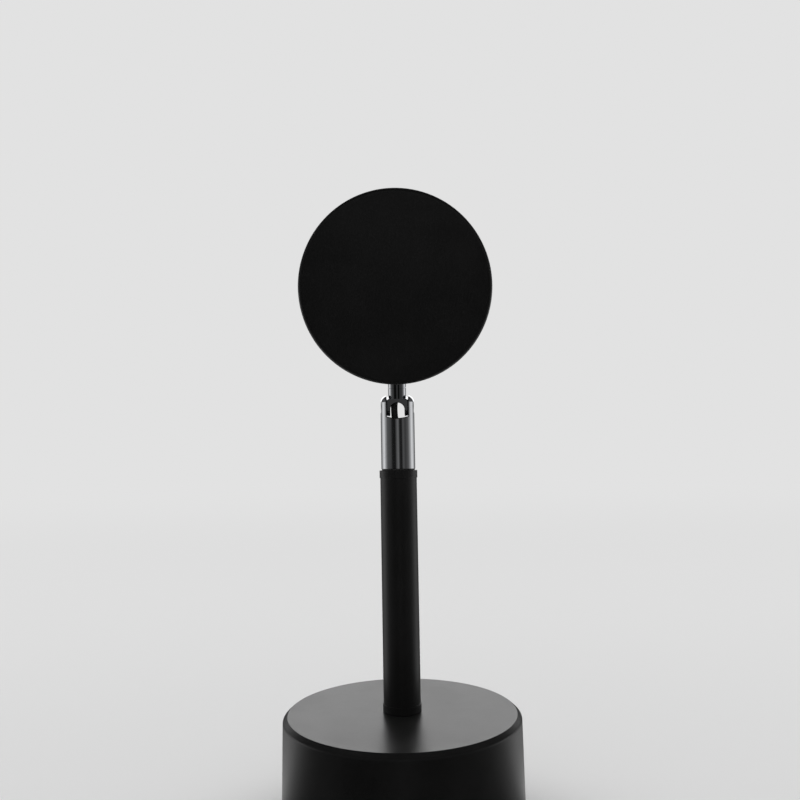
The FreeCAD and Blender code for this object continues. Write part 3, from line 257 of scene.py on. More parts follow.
class Effect(Sheet):
    """A shader node group that several finishes share, as the sheet of its own nodes."""

    title = "effect"
    inputs: dict[str, float] = {}

    def __init__(self) -> None:
        """Finds the effect's node group, or builds it at its first use."""
        found = bpy.data.node_groups.get(self.title)
        if found:
            self.tree = found
            return
        super().__init__(bpy.data.node_groups.new(self.title, "ShaderNodeTree"))
        for name, default in self.inputs.items():
            self.declare(name, "INPUT").default_value = default
        self.given = self.add("NodeGroupInput").outputs
        results = self.build()
        for name in results:
            self.declare(name, "OUTPUT")
        self.add("NodeGroupOutput", results)

    def declare(self, name: str, side: str) -> bpy.types.NodeTreeInterfaceSocket:
        """Gives the group an input or output for a number."""
        return self.tree.interface.new_socket(name=name, in_out=side, socket_type="NodeSocketFloat")

    def build(self) -> dict[str, Socket]:
        """Adds the nodes behind the group's given inputs, and returns what each output gets."""
        raise NotImplementedError


class CoatGrain(Effect):
    """The fine orange peel of sprayed paint or a moulded texture: a height and soft blotches."""

    title = "coat_grain"
    inputs = {"Grain": 2200.0, "Wave": 260.0, "Wave Share": 0.35}

    def build(self) -> dict[str, Socket]:
        """Adds two sizes of noise for the height, and a slow one for the blotches.

        Returns:
            What each output gets.
        """
        fine = self.noise(self.given["Grain"], detail=3.0, rough=0.6)
        wave = self.noise(self.given["Wave"], detail=2.0, rough=0.5)
        blotch = self.ramp(self.noise(45.0, detail=4.0, rough=0.6))
        return {"Height": self.plus(fine, wave, self.given["Wave Share"]), "Blotch": blotch}


class Handling(Effect):
    """Faint smears from fingers and wiping, as a mask."""

    title = "handling_smears"
    inputs = {"Size": 90.0}

    def build(self) -> dict[str, Socket]:
        """Warps a noise, and cuts it so that most of the surface stays clean.

        Returns:
            What each output gets.
        """
        bend = self.ramp(self.noise(30.0, detail=3.0, rough=0.6), 0.2, 0.8, 0.8, 1.2)
        smear = self.noise(self.times(self.given["Size"], bend), detail=5.0, rough=0.65)
        return {"Mask": self.ramp(smear, 0.48, 0.78)}


class EdgeWear(Effect):
    """A mask of the outer edges, broken up by noise, where paint rubs thin."""

    title = "edge_wear"
    inputs = {"Width": 0.0004, "Amount": 1.0}

    def build(self) -> dict[str, Socket]:
        """Compares the true normal with one that is rounded over the width.

        Returns:
            What each output gets.
        """
        rounded = self.add("ShaderNodeBevel", {"Radius": self.given["Width"]}, samples=6).outputs["Normal"]
        flat = self.add("ShaderNodeNewGeometry").outputs["Normal"]
        dot = self.add("ShaderNodeVectorMath", {0: rounded, 1: flat}, operation="DOT_PRODUCT")
        edge = self.ramp(dot.outputs["Value"], 0.99, 0.9)
        broken = self.ramp(self.noise(700.0, detail=4.0, rough=0.7), 0.4, 0.62)
        return {"Mask": self.times(self.times(edge, broken), self.given["Amount"], clamp=True), "Edge": edge}


class Dust(Effect):
    """Fine dust on what faces up, as a mask."""

    title = "settled_dust"
    inputs = {"Amount": 0.15}

    def build(self) -> dict[str, Socket]:
        """Multiplies the upward share of the normal with specks and a soft cloud.

        Returns:
            What each output gets.
        """
        normal = self.add("ShaderNodeNewGeometry").outputs["Normal"]
        upward = self.ramp(self.add("ShaderNodeSeparateXYZ", {"Vector": normal}).outputs["Z"], 0.55, 0.95)
        specks = self.ramp(self.noise(1500.0, detail=2.0, rough=0.6), 0.62, 0.75)
        cloud = self.ramp(self.noise(60.0, detail=4.0, rough=0.6), 0.35, 0.75, 0.1, 0.5)
        lying = self.times(self.plus(specks, cloud), upward)
        return {"Mask": self.times(lying, self.given["Amount"], clamp=True)}


# --- finishes


def blank(name: str) -> tuple[bpy.types.Material, Sheet]:
    """Makes an empty material.

    Args:
        name: its name.

    Returns:
        The material and the sheet of its nodes.
    """
    material = bpy.data.materials.new(name)
    material.use_nodes = True
    return material, Sheet(material.node_tree)


@dataclass(frozen=True)
class Finish(Sheet):
    """A finish, as the sheet of its material's nodes.

    Args:
        name: the material's name.
        colour: its main colour.
        roughness: its mean roughness.
        depth: how deep its texture is, in metres.
        grain: how many grains that has to a metre.
        edge: how wide its worn edges are, in metres.
        smears: how many smears there are to a metre.
        smeared: how much rougher they are.
    """

    name: str
    colour: Colour
    roughness: float
    depth: float = 0.0
    grain: float = 0.0
    edge: float = 0.0
    smears: float = 70.0
    smeared: float = 0.025

    @cached_property
    def material(self) -> bpy.types.Material:
        """The material, empty at first."""
        return blank(self.name)[0]

    @property
    def tree(self) -> bpy.types.NodeTree:
        """The material's nodes."""
        return self.material.node_tree

    def make(self) -> bpy.types.Material:
        """Fills the material.

        Returns:
            The material.
        """
        values = {"Base Color": self.colour, "Roughness": self.roughness}
        shader = self.add("ShaderNodeBsdfPrincipled", values | self.look())
        self.add("ShaderNodeOutputMaterial", {"Surface": shader.outputs["BSDF"]})
        return self.material

    def look(self) -> dict[str, Value]:
        """Adds the finish's own detail, and returns what the shader's inputs get."""
        raise NotImplementedError

    def rougher(self, share: Value, less: float, more: float, low: float = 0.3, high: float = 0.7) -> Socket:
        """The roughness, from less to more than its mean, as a share goes from low to high."""
        return self.ramp(share, low, high, self.roughness - less, self.roughness + more)


@dataclass(frozen=True)
class SprayedMetal(Finish):
    """Satin black paint on metal, with its fine grain, light smears and rubbed edges.

    Args:
        gloss: the paint's refractive index, by which it mirrors at a slant.
        rubbed: how far the paint is rubbed off the edges, from 0 to 1.
        dusty: how much dust lies on what faces up, from 0 to 1.
        patchy: how far the blotches change the roughness.
        polished: how much smoother the edges are.
        thin: how bright the thinner blotches are, as a share of the rest.
        bare: the tone of rubbed edges.
        dust: the dust's tone.
    """

    edge: float = 0.0004
    gloss: float = 1.62
    grain: float = 2200.0
    rubbed: float = 0.25
    dusty: float = 0.03
    patchy: float = 0.012
    polished: float = 0.12
    thin: float = 0.7
    bare: Colour = grey(0.11)
    dust: Colour = grey(0.42)

    def look(self) -> dict[str, Value]:
        """Adds grain, smears, dust and rubbed edges.

        Returns:
            The shader's inputs.
        """
        grain = self.use(CoatGrain, {"Grain": self.grain})
        smears = self.use(Handling, {"Size": self.smears})["Mask"]
        edges = self.use(EdgeWear, {"Width": self.edge, "Amount": self.rubbed})
        dust = self.use(Dust, {"Amount": self.dusty})["Mask"]
        paint = self.mix(grain["Blotch"], dimmed(self.colour, self.thin), self.colour)
        paint = self.mix(dust, paint, self.dust)
        rough = self.rougher(grain["Blotch"], self.patchy, self.patchy, 0, 1)
        rough = self.plus(rough, smears, self.smeared)
        return {
            "IOR": self.gloss,
            "Base Color": self.mix(edges["Mask"], paint, self.bare),
            "Roughness": self.math("SUBTRACT", rough, self.times(edges["Edge"], self.polished), clamp=True),
            "Normal": self.bump(grain["Height"], self.depth),
        }


@dataclass(frozen=True)
class Chrome(Finish):
    """Polished plating with faint polishing marks and smears."""

    depth: float = 6e-6
    smears: float = 150.0
    smeared: float = 0.09

    def look(self) -> dict[str, Value]:
        """Adds fine upright polishing marks, smears and a slow wave.

        Returns:
            The shader's inputs.
        """
        smears = self.use(Handling, {"Size": self.smears})["Mask"]
        marks = self.noise(6000.0, detail=3.0, rough=0.6, stretch=(1.0, 1.0, 0.02))
        wave = self.noise(220.0, detail=1.0, rough=0.4)
        return {
            "Metallic": 1.0,
            "Base Color": self.mix(smears, self.colour, dimmed(self.colour, 0.9)),
            "Roughness": self.plus(self.rougher(marks, 0, 0.03), smears, self.smeared, clamp=True),
            "Normal": self.bump(self.plus(wave, marks, 0.02), self.depth),
        }


@dataclass(frozen=True)
class TurnedSteel(Finish):
    """Bare or zinc-plated steel with fine tool marks.

    Args:
        spangle: how strongly the plating's tone changes, from 0 to 1.
        warm: the yellowish tone of passivated zinc.
        worn: how far the edges are worn bright, from 0 to 1.
        bright: the tone of worn edges.
    """

    depth: float = 7e-6
    edge: float = 0.00025
    spangle: float = 0.3
    warm: Colour = (0.62, 0.6, 0.52)
    worn: float = 0.7
    bright: Colour = grey(0.78)

    def look(self) -> dict[str, Value]:
        """Adds tool marks across the piece and a patchy tone.

        Returns:
            The shader's inputs.
        """
        patch = self.ramp(self.noise(380.0, detail=3.0, rough=0.6))
        marks = self.noise(5200.0, detail=3.0, rough=0.7, stretch=(1.0, 0.12, 1.0))
        tone = self.mix(self.times(patch, self.spangle), self.colour, self.warm)
        worn = self.use(EdgeWear, {"Width": self.edge, "Amount": self.worn})["Mask"]
        return {
            "Metallic": 1.0,
            "Base Color": self.mix(worn, tone, self.bright),
            "Roughness": self.rougher(marks, 0.08, 0.1),
            "Normal": self.bump(marks, self.depth),
        }


@dataclass(frozen=True)
class CastIron(Finish):
    """A rough casting with a dark skin and a little rust.

    Args:
        rust: the rust's colour.
    """

    depth: float = 9e-5
    rust: Colour = (0.16, 0.07, 0.035)

    def look(self) -> dict[str, Value]:
        """Adds sand grain, pits and rust in the hollows.

        Returns:
            The shader's inputs.
        """
        sand = self.noise(900.0, detail=5.0, rough=0.7)
        pits = self.add("ShaderNodeTexVoronoi", {"Vector": self.place(), "Scale": 520.0}).outputs["Distance"]
        rust = self.ramp(self.noise(70.0, detail=6.0, rough=0.7), 0.55, 0.72, 0.0, 0.5)
        return {
            "Metallic": 0.4,
            "Base Color": self.mix(rust, self.colour, self.rust),
            "Roughness": self.rougher(sand, 0.1, 0.1),
            "Normal": self.bump(self.plus(sand, self.ramp(pits, 0.0, 0.35)), self.depth),
        }


@dataclass(frozen=True)
class Moulded(Finish):
    """Moulded rubber or plastic with a spark-eroded texture.

    Args:
        bloom: how much of the paler tone the blotches have, from 0 to 1.
        through: the share of light that goes in.
        scuffed: how far the edges are scuffed, from 0 to 1.
        pale: how far the paler tone goes towards white, from 0 to 1.
    """

    depth: float = 1.5e-5
    edge: float = 0.0003
    grain: float = 2600.0
    bloom: float = 0.2
    through: float = 0.0
    scuffed: float = 0.5
    pale: float = 0.12

    def look(self) -> dict[str, Value]:
        """Adds texture, blotches and scuffed edges.

        Returns:
            The shader's inputs.
        """
        grain = self.use(CoatGrain, {"Grain": self.grain, "Wave Share": 0.2})
        worn = self.use(EdgeWear, {"Width": self.edge, "Amount": self.scuffed})["Mask"]
        paler = tuple(part + (1 - part) * self.pale for part in self.colour)
        tone = self.mix(self.times(grain["Blotch"], self.bloom), self.colour, paler)
        return {
            "Subsurface Weight": self.through,
            "Subsurface Scale": 0.0008,
            "Base Color": self.mix(worn, tone, paler),
            "Roughness": self.rougher(grain["Blotch"], 0.05, 0.06, 0, 1),
            "Normal": self.bump(grain["Height"], self.depth),
        }


@dataclass(frozen=True)
class LensGlass(Finish):
    """Clear ground glass, with the faintest smears on it."""

    smears: float = 60.0
    smeared: float = 0.04

    def look(self) -> dict[str, Value]:
        """Makes clear glass, whose roughness rises where it was touched.

        Returns:
            The shader's inputs.
        """
        smears = self.use(Handling, {"Size": self.smears})["Mask"]
        return {
            "Transmission Weight": 1.0,
            "IOR": 1.52,
            "Base Color": self.mix(smears, self.colour, dimmed(self.colour, 0.97)),
            "Roughness": self.rougher(smears, 0, self.smeared, 0, 1),
        }


@dataclass(frozen=True)
class SunsetGlass(Finish):
    """The coated glass that colours the beam, in rings.

    Args:
        middle: the glass's middle, in the lamp's frame.
        radius: the glass's radius, in metres.
        shift: how far the colours shift at a slant, as a share of the radius.
        rings: the colours, each with its place from the middle to the rim.
    """

    smears: float = 120.0
    smeared: float = 0.05
    middle: Point = (0.0, 0.0, 0.0)
    radius: float = 0.0126
    shift: float = 0.25
    rings: tuple[tuple[float, Colour], ...] = (
        (0.0, (0.1, 0.75, 0.85)),
        (0.35, (0.12, 0.3, 0.9)),
        (0.6, (0.45, 0.12, 0.75)),
        (0.82, (0.9, 0.12, 0.4)),
        (1.0, (1.0, 0.45, 0.12)),
    )

    def look(self) -> dict[str, Value]:
        """Adds coloured rings that shift at a slant, in clear glass.

        Returns:
            The shader's inputs.
        """
        away = self.add("ShaderNodeVectorMath", {0: self.place(), 1: self.middle}, operation="SUBTRACT")
        share = self.math("DIVIDE", self.length(away.outputs["Vector"]), self.radius)
        slant = self.add("ShaderNodeLayerWeight", {"Blend": 0.3}).outputs["Facing"]
        smears = self.use(Handling, {"Size": self.smears})["Mask"]
        return {
            "Transmission Weight": 0.85,
            "IOR": 1.5,
            "Coat Weight": 0.6,
            "Coat Roughness": 0.02,
            "Base Color": self.colours(self.plus(share, slant, self.shift, clamp=True), self.rings),
            "Roughness": self.rougher(smears, 0, self.smeared, 0, 1),
        }


@dataclass(frozen=True)
class BrushedAluminium(Finish):
    """Milled aluminium with brushed lines along the cuts."""

    depth: float = 5e-6

    def look(self) -> dict[str, Value]:
        """Adds lines across the piece and a cloudy oxide.

        Returns:
            The shader's inputs.
        """
        lines = self.noise(7000.0, detail=2.0, rough=0.7, stretch=(1.0, 0.03, 0.03))
        cloud = self.ramp(self.noise(160.0, detail=4.0, rough=0.6))
        return {
            "Metallic": 1.0,
            "Base Color": self.mix(cloud, self.colour, dimmed(self.colour, 0.88)),
            "Roughness": self.rougher(lines, 0.1, 0.12, 0.25, 0.75),
            "Normal": self.bump(lines, self.depth),
        }


@dataclass(frozen=True)
class BoardLacquer(Finish):
    """White solder lacquer over the copper tracks of a circuit board.

    Args:
        track: the lacquer's tone over a track.
    """

    depth: float = 1.2e-5
    track: Colour = (0.62, 0.66, 0.6)

    def look(self) -> dict[str, Value]:
        """Adds faint tracks that show through the lacquer.

        Returns:
            The shader's inputs.
        """
        layout = {"Vector": self.place(), "Scale": 420.0, "Mortar Size": 0.06}
        tracks = self.add("ShaderNodeTexBrick", layout).outputs["Fac"]
        cloud = self.noise(900.0, detail=3.0, rough=0.6)
        return {
            "Base Color": self.mix(self.times(tracks, 0.35), self.colour, self.track),
            "Roughness": self.rougher(cloud, 0, 0.12),
            "Normal": self.bump(self.plus(tracks, cloud, 0.1), self.depth),
        }


@dataclass(frozen=True)
class Phosphor(Finish):
    """The yellow phosphor of a lit LED, under its clear dome.

    Args:
        glow: how bright it is, where 1 is white.
    """

    depth: float = 8e-6
    glow: float = 1.2

    def look(self) -> dict[str, Value]:
        """Makes grainy phosphor that glows, with a glossy dome over it.

        Returns:
            The shader's inputs.
        """
        grain = self.ramp(self.noise(3800.0, detail=3.0, rough=0.6))
        return {
            "Base Color": self.mix(grain, self.colour, (1.0, 0.82, 0.3)),
            "Emission Color": self.mix(grain, (1.0, 0.86, 0.6), (1.0, 0.93, 0.75)),
            "Emission Strength": self.glow,
            "Coat Weight": 1.0,
            "Normal": self.bump(grain, self.depth),
        }


class Slot(Enum):
    """The record's material slots, by what they are."""

    BODY_PAINT = "black_paint"
    TUBE_PAINT = "black_tube"
    CHROME = "chrome"
    SCREW = "screw_steel"
    ZINC = "zinc_steel"
    IRON = "cast_iron"
    RUBBER = "rubber"
    NYLON = "nylon"
    LEAD = "lead_jacket"
    STRAND = "strand_jacket"
    LENS = "lens_glass"
    FILTER = "filter_glass"
    SPRING = "spring_ring"
    BARREL = "barrel_plastic"
    ALUMINIUM = "aluminium"
    THERMAL = "thermal_pad"
    BOARD = "circuit_board"
    LED = "led"
    CHIP = "chip"


class Paintshop:
    """Makes each finish once and gives it to the pieces of its slot."""

    def __init__(self) -> None:
        """Makes the finishes, with the coloured glass's rings round its middle."""
        middle = tuple(sum(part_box("colour_filter"), Vector()) / 2)
        finishes = {
            Slot.BODY_PAINT: SprayedMetal("satin_black_paint", grey(0.008), 0.3, depth=4.5e-5, grain=2100.0),
            Slot.TUBE_PAINT: SprayedMetal("satin_black_tube", grey(0.008), 0.38, depth=2.5e-5, grain=2300.0,
                                          rubbed=0.0, dusty=0.01),
            Slot.CHROME: Chrome("polished_chrome", (0.72, 0.73, 0.75), 0.045),
            Slot.SCREW: TurnedSteel("screw_steel", grey(0.56), 0.3, spangle=0.15),
            Slot.ZINC: TurnedSteel("zinc_plated_steel", (0.58, 0.59, 0.6), 0.36, spangle=0.5),
            Slot.IRON: CastIron("cast_iron", (0.075, 0.072, 0.07), 0.72),
            Slot.RUBBER: Moulded("black_rubber", grey(0.02), 0.72, depth=3.5e-5, grain=1500.0, bloom=0.3),
            Slot.NYLON: Moulded("black_nylon", grey(0.015), 0.5, depth=8e-6, grain=3000.0),
            Slot.LEAD: Moulded("black_cable_jacket", grey(0.012), 0.38, depth=1.2e-5, grain=900.0,
                               bloom=0.15),
            Slot.STRAND: Moulded("red_wire_jacket", (0.55, 0.02, 0.015), 0.35, depth=6e-6),
            Slot.LENS: LensGlass("lens_glass", (0.97, 0.985, 0.985), 0.0),
            Slot.FILTER: SunsetGlass("coated_glass", grey(1.0), 0.02, middle=middle),
            Slot.SPRING: TurnedSteel("spring_steel", grey(0.42), 0.32, spangle=0.2, warm=(0.42, 0.38, 0.34)),
            Slot.BARREL: Moulded("black_barrel_plastic", grey(0.018), 0.55, grain=3200.0, bloom=0.15),
            Slot.ALUMINIUM: BrushedAluminium("milled_aluminium", (0.76, 0.77, 0.78), 0.32),
            Slot.THERMAL: Moulded("grey_silicone_pad", (0.4, 0.42, 0.45), 0.75, depth=3e-5, grain=1400.0,
                                  through=0.1),
            Slot.BOARD: BoardLacquer("white_board_lacquer", (0.8, 0.81, 0.78), 0.3),
            Slot.LED: Phosphor("led_phosphor", (0.95, 0.74, 0.2), 0.3),
            Slot.CHIP: Moulded("chip_epoxy", grey(0.02), 0.5, depth=8e-6, grain=4200.0),
        }
        self.materials = {slot: finish.make() for slot, finish in finishes.items()}

    def dress(self, piece: Piece, slot: Slot) -> None:
        """Gives a piece its slot's finish, in every material slot that it has.

        Args:
            piece: the piece.
            slot: the record's slot.
        """
        if not piece.data.materials:
            piece.data.materials.append(self.materials[slot])
        for place in piece.material_slots:
            place.material = self.materials[slot]


# --- modelling tools


def placed(name: str, data: bpy.types.ID) -> Piece:
    """Makes an object at the scene's origin.

    Args:
        name: the object's name.
        data: its mesh, curve, camera or light.

    Returns:
        The object.
    """
    piece = bpy.data.objects.new(name, data)
    bpy.context.scene.collection.objects.link(piece)
    return piece


def finished(name: str, shape: bmesh.types.BMesh) -> Piece:
    """Makes a smooth object from a bmesh, with sharp edges where it turns a corner.

    Args:
        name: the object's name.
        shape: the bmesh, which is freed.

    Returns:
        The object.
    """
    for face in shape.faces:
        face.smooth = True
    for edge in shape.edges:
        if len(edge.link_faces) == 2 and edge.calc_face_angle(0.0) > SHARP_FROM:
            edge.smooth = False
    mesh = bpy.data.meshes.new(name)
    shape.to_mesh(mesh)
    shape.free()
    return placed(name, mesh)


def turned(outline: Profile, steps: int) -> bmesh.types.BMesh:
    """Turns an outline round Z, as on a lathe.

    Args:
        outline: points of (radius, level), in metres.
        steps: how many segments the full turn has.

    Returns:
        The turned shape.
    """
    shape = bmesh.new()
    corners = [shape.verts.new((radius, 0, level)) for radius, level in outline]
    edges = [shape.edges.new(pair) for pair in zip(corners, corners[1:])]
    bmesh.ops.spin(shape, geom=corners + edges, cent=(0, 0, 0), axis=(0, 0, 1), dvec=(0, 0, 0), angle=TURN,
                   steps=steps, use_merge=True)
    return shape


def spun(name: str, outline: Profile, place: Matrix, steps: int) -> Piece:
    """Makes a solid turned piece.

    Args:
        name: the new piece's name.
        outline: points of (radius, level), in metres, from the axis and back to it.
        place: where the lathe's frame lies in the lamp's.
        steps: how many segments the full turn has.

    Returns:
        The piece, smooth and with its faces outward.
    """
    shape = turned(outline, steps)
    bmesh.ops.remove_doubles(shape, verts=shape.verts, dist=MERGE_GAP)
    bmesh.ops.transform(shape, matrix=place, verts=shape.verts)
    bmesh.ops.recalc_face_normals(shape, faces=shape.faces)
    return finished(name, shape)


def tube(name: str, points: list[Vector], radius: float) -> Piece:
    """Runs a round tube along a smooth curve.

    Args:
        name: the new piece's name.
        points: the points that lead the curve, in order.
        radius: the tube's radius, in metres.

    Returns:
        The tube, with closed ends.
    """
    curve = bpy.data.curves.new(name, "CURVE")
    curve.dimensions = "3D"
    curve.bevel_depth = radius
    curve.bevel_resolution = 6
    curve.resolution_u = 16
    curve.use_fill_caps = True
    spline = curve.splines.new("NURBS")
    spline.points.add(len(points) - 1)
    for point, place in zip(spline.points, points):
        point.co = (*place, 1.0)
    spline.order_u = 3
    spline.use_endpoint_u = True
    route = placed(name + "_route", curve)
    bpy.context.view_layer.update()
    mesh = bpy.data.meshes.new_from_object(route.evaluated_get(bpy.context.evaluated_depsgraph_get()))
    bpy.data.objects.remove(route)
    shape = bmesh.new()
    shape.from_mesh(mesh)
    bpy.data.meshes.remove(mesh)
    bmesh.ops.remove_doubles(shape, verts=shape.verts, dist=MERGE_GAP)
    bmesh.ops.recalc_face_normals(shape, faces=shape.faces)
    return finished(name, shape)


def arc(middle: tuple[float, float], radius: float, start: float, end: float, steps: int) -> Profile:
    """Points on an arc, for an outline.

    Args:
        middle: the arc's middle, as (radius, level).
        radius: the arc's own radius.
        start: its first angle, in degrees, from the outward direction towards up.
        end: its last angle, in degrees.
        steps: how many runs it is divided into.

    Returns:
        Its points, ends included.
    """
    angles = [math.radians(start + (end - start) * step / steps) for step in range(steps + 1)]
    return [(middle[0] + radius * math.cos(angle), middle[1] + radius * math.sin(angle)) for angle in angles]


# --- sub-assemblies


@dataclass
class SubAssembly:
    """A group of pieces: the CAD nodes that are kept, by slot, and those that are modelled here.

    Args:
        paints: the finishes.
        places: the lamp's axes.
    """

    kept: ClassVar[dict[Slot, str]] = {}
    frame: dict
    paints: Paintshop
    places: Places

    def modelled(self) -> list[Piece]:
        """The pieces that are modelled here."""
        return []

    def build(self) -> None:
        """Dresses the kept nodes and makes the other pieces."""
        for slot, nodes in self.kept.items():
            for node in nodes.split():
                self.paints.dress(self.frame["nodes"][node], slot)
                LOG.info("%s: kept node %s in %s", type(self).__name__, node, slot.value)
        for piece in self.modelled():
            LOG.info("%s: modelled %s, %d faces", type(self).__name__, piece.name, len(piece.data.polygons))

    def stand_for(self, piece: Piece, node: str, slot: Slot, body: str) -> Piece:
        """Lets a rigid piece take a node's place.

        Args:
            piece: the piece.
            node: the node that it replaces.
            slot: the slot whose finish it gets.
            body: the body that it moves with.

        Returns:
            The piece.
        """
        self.paints.dress(piece, slot)
        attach(piece, body)
        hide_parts(node)
        return piece


@dataclass
class Base(SubAssembly):
    """The weighted base.

    Args:
        groove_count: rings moulded into the foot pad's underside.
        groove_depth: how deep they are, in metres.
        groove_share: how much of the pitch a groove takes.
        first_groove: the smallest ring's radius, in metres.
        rim: the plain rim of the pad, in metres.
        edge: the rounding of the pad's lower edge, in metres.
        edge_steps: how many runs the rounding has.
    """

    groove_count: int = 9
    groove_depth: float = 0.00035
    groove_share: float = 0.4
    first_groove: float = 0.006
    rim: float = 0.003
    edge: float = 0.0003
    edge_steps: int = 4

    kept: ClassVar[dict[Slot, str]] = {
        Slot.BODY_PAINT: "base_shell",
        Slot.IRON: "base_weight",
        Slot.ZINC: "base_plate stem stem_nut stem_washer",
        Slot.SCREW: "base_screws clamp_screws",
        Slot.RUBBER: "cable_gland",
        Slot.NYLON: "lead_clamp",
        Slot.LEAD: "lead_in_base lead_splice",
    }

    def modelled(self) -> list[Piece]:
        """The foot pad."""
        return [self.foot_pad()]

    def foot_pad(self) -> Piece:
        """Makes a moulded pad with rings in its underside, so that it grips.

        Returns:
            The pad.
        """
        low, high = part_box("foot_pad")
        radius = (high.x - low.x) / 2
        pitch = (radius - self.rim - self.first_groove) / self.groove_count
        slope = self.groove_depth / 2
        outline: Profile = [(0, high.z), (radius, high.z)]
        outline += arc((radius - self.edge, low.z + self.edge), self.edge, 0, -90, self.edge_steps)
        for ring in reversed(range(self.groove_count)):
            inner = self.first_groove + ring * pitch
            outer = inner + pitch * self.groove_share
            outline += [(outer, low.z), (outer - slope, low.z + self.groove_depth),
                        (inner + slope, low.z + self.groove_depth), (inner, low.z)]
        outline.append((0, low.z))
        piece = spun("moulded_foot_pad", outline, Matrix.Identity(4), ROUND_STEPS)
        return self.stand_for(piece, "foot_pad", Slot.RUBBER, "stand")


@dataclass
class Post(SubAssembly):
    """The upright tube between its two ferrules."""

    kept: ClassVar[dict[Slot, str]] = {
        Slot.TUBE_PAINT: "foot_ferrule post_tube swivel_bush",
        Slot.NYLON: "glide_washer",
    }


@dataclass
class Knuckle(SubAssembly):
    """The swivel sleeve, the tilting neck and the cable that flexes between them.

    Args:
        lead_radius: the cable's radius, in metres.
        route_upright: the cable's points below the pivot, as (side step, level) from it.
        route_in_neck: its points above the pivot, in the neck's own frame.
        flex: not used; how far below and above the pivot the cable bends, in metres.
    """

    lead_radius: float = 0.0013
    route_upright: tuple[tuple[float, float], ...] = (
        (0.0, -0.01), (0.0, -0.0076), (0.001, -0.0046), (0.00125, -0.0014))
    route_in_neck: tuple[tuple[float, float], ...] = ((0.00119, 0.0018), (0.0, 0.0066), (0.0, 0.01))
    flex: float = 0.0042

    kept: ClassVar[dict[Slot, str]] = {
        Slot.CHROME: "swivel_sleeve neck neck_seat",
        Slot.SCREW: "pivot_screws",
        Slot.NYLON: "friction_rings",
        Slot.ZINC: "retaining_clip neck_washer neck_nut",
        Slot.LEAD: "lead_in_sleeve",
    }

    def modelled(self) -> list[Piece]:
        """The flexing cable."""
        return [self.flexing_lead()]

    def flexing_lead(self) -> Piece:
        """Makes the stretch of cable through the joint, in the shape that it has at rest.

        Returns:
            The cable.
        """
        points = [self.places.pivot + Vector((side, 0, level)) for side, level in self.route_upright]
        points += [self.places.neck @ Vector((side, 0, level)) for side, level in self.route_in_neck]
        piece = tube("flexing_lead", points, self.lead_radius)
        self.paints.dress(piece, Slot.LEAD)
        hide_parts("lead_in_joint")
        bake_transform(piece)
        return piece


@dataclass
class Head(SubAssembly):
    """The drum with its lens, its coloured glass and its light.

    Args:
        lens_radius: half of the lens's width, in metres.
        lens_edge: the height of its cylindrical edge.
        lens_curve: the radius of its domed face.
        lens_back: its flat face, forward of the drum's middle.
        lens_bevel: the ground bevel between its edge and its flat face.
        lens_steps: how many segments its full turn has.
        dome_steps: how many runs its dome has from rim to middle.
    """

    lens_radius: float = 0.021
    lens_edge: float = 0.0025
    lens_curve: float = 0.026
    lens_back: float = 0.013
    lens_bevel: float = 0.0003
    lens_steps: int = 160
    dome_steps: int = 40

    kept: ClassVar[dict[Slot, str]] = {
        Slot.BODY_PAINT: "head_shell front_cover",
        Slot.RUBBER: "lens_gasket",
        Slot.BARREL: "lens_barrel",
        Slot.SCREW: "barrel_screws led_screws",
        Slot.FILTER: "colour_filter",
        Slot.SPRING: "filter_ring",
        Slot.ALUMINIUM: "heat_sink",
        Slot.THERMAL: "thermal_pad",
        Slot.BOARD: "led_board driver_board",
        Slot.LED: "led_emitter",
        Slot.CHIP: "driver_parts",
        Slot.STRAND: "led_strands",
        Slot.LEAD: "lead_in_head",
    }

    def modelled(self) -> list[Piece]:
        """The lens."""
        return [self.lens()]

    def lens(self) -> Piece:
        """Makes a plano-convex lens, ground smooth.

        Returns:
            The lens.
        """
        radius, back, bevel = self.lens_radius, self.lens_back, self.lens_bevel
        shoulder = back + self.lens_edge
        dome_middle = shoulder - math.sqrt(self.lens_curve**2 - radius**2)
        rim = math.degrees(math.asin((shoulder - dome_middle) / self.lens_curve))
        outline: Profile = [(0, back), (radius / 2, back), (radius - bevel, back), (radius, back + bevel)]
        outline += arc((0, dome_middle), self.lens_curve, rim, 90, self.dome_steps)
        outline[-1] = (0, outline[-1][1])
        piece = spun("ground_lens", outline, self.places.optics, self.lens_steps)
        return self.stand_for(piece, "lens", Slot.LENS, "head")


# --- studio


@dataclass(frozen=True)
class ProductCamera:
    """The camera at the photograph's place.

    Args:
        place: where it stands, in metres.
        rise: how far it looks up, in degrees.
        roll: how far it is turned about its own axis, in degrees.
        lens: its focal length, in millimetres.
        sensor: its sensor's width, in millimetres.
        nearest: the least distance that it shows, in metres.
    """

    place: Point = (-0.00109, 0.301, 0.1337)
    rise: float = 4.69
    roll: float = -0.97
    lens: float = 34.6
    sensor: float = 36.0
    nearest: float = 0.01

    def make(self) -> None:
        """Makes the camera and lets the scene use it."""
        data = bpy.data.cameras.new("product_camera")
        data.lens = self.lens
        data.sensor_width = self.sensor
        data.clip_start = self.nearest
        camera = placed("product_camera", data)
        turn = Euler((math.radians(90 + self.rise), 0, math.pi)).to_matrix()
        turn = turn @ Matrix.Rotation(math.radians(self.roll), 3, "Z")
        camera.matrix_world = Matrix.Translation(self.place) @ turn.to_4x4()
        bpy.context.scene.camera = camera


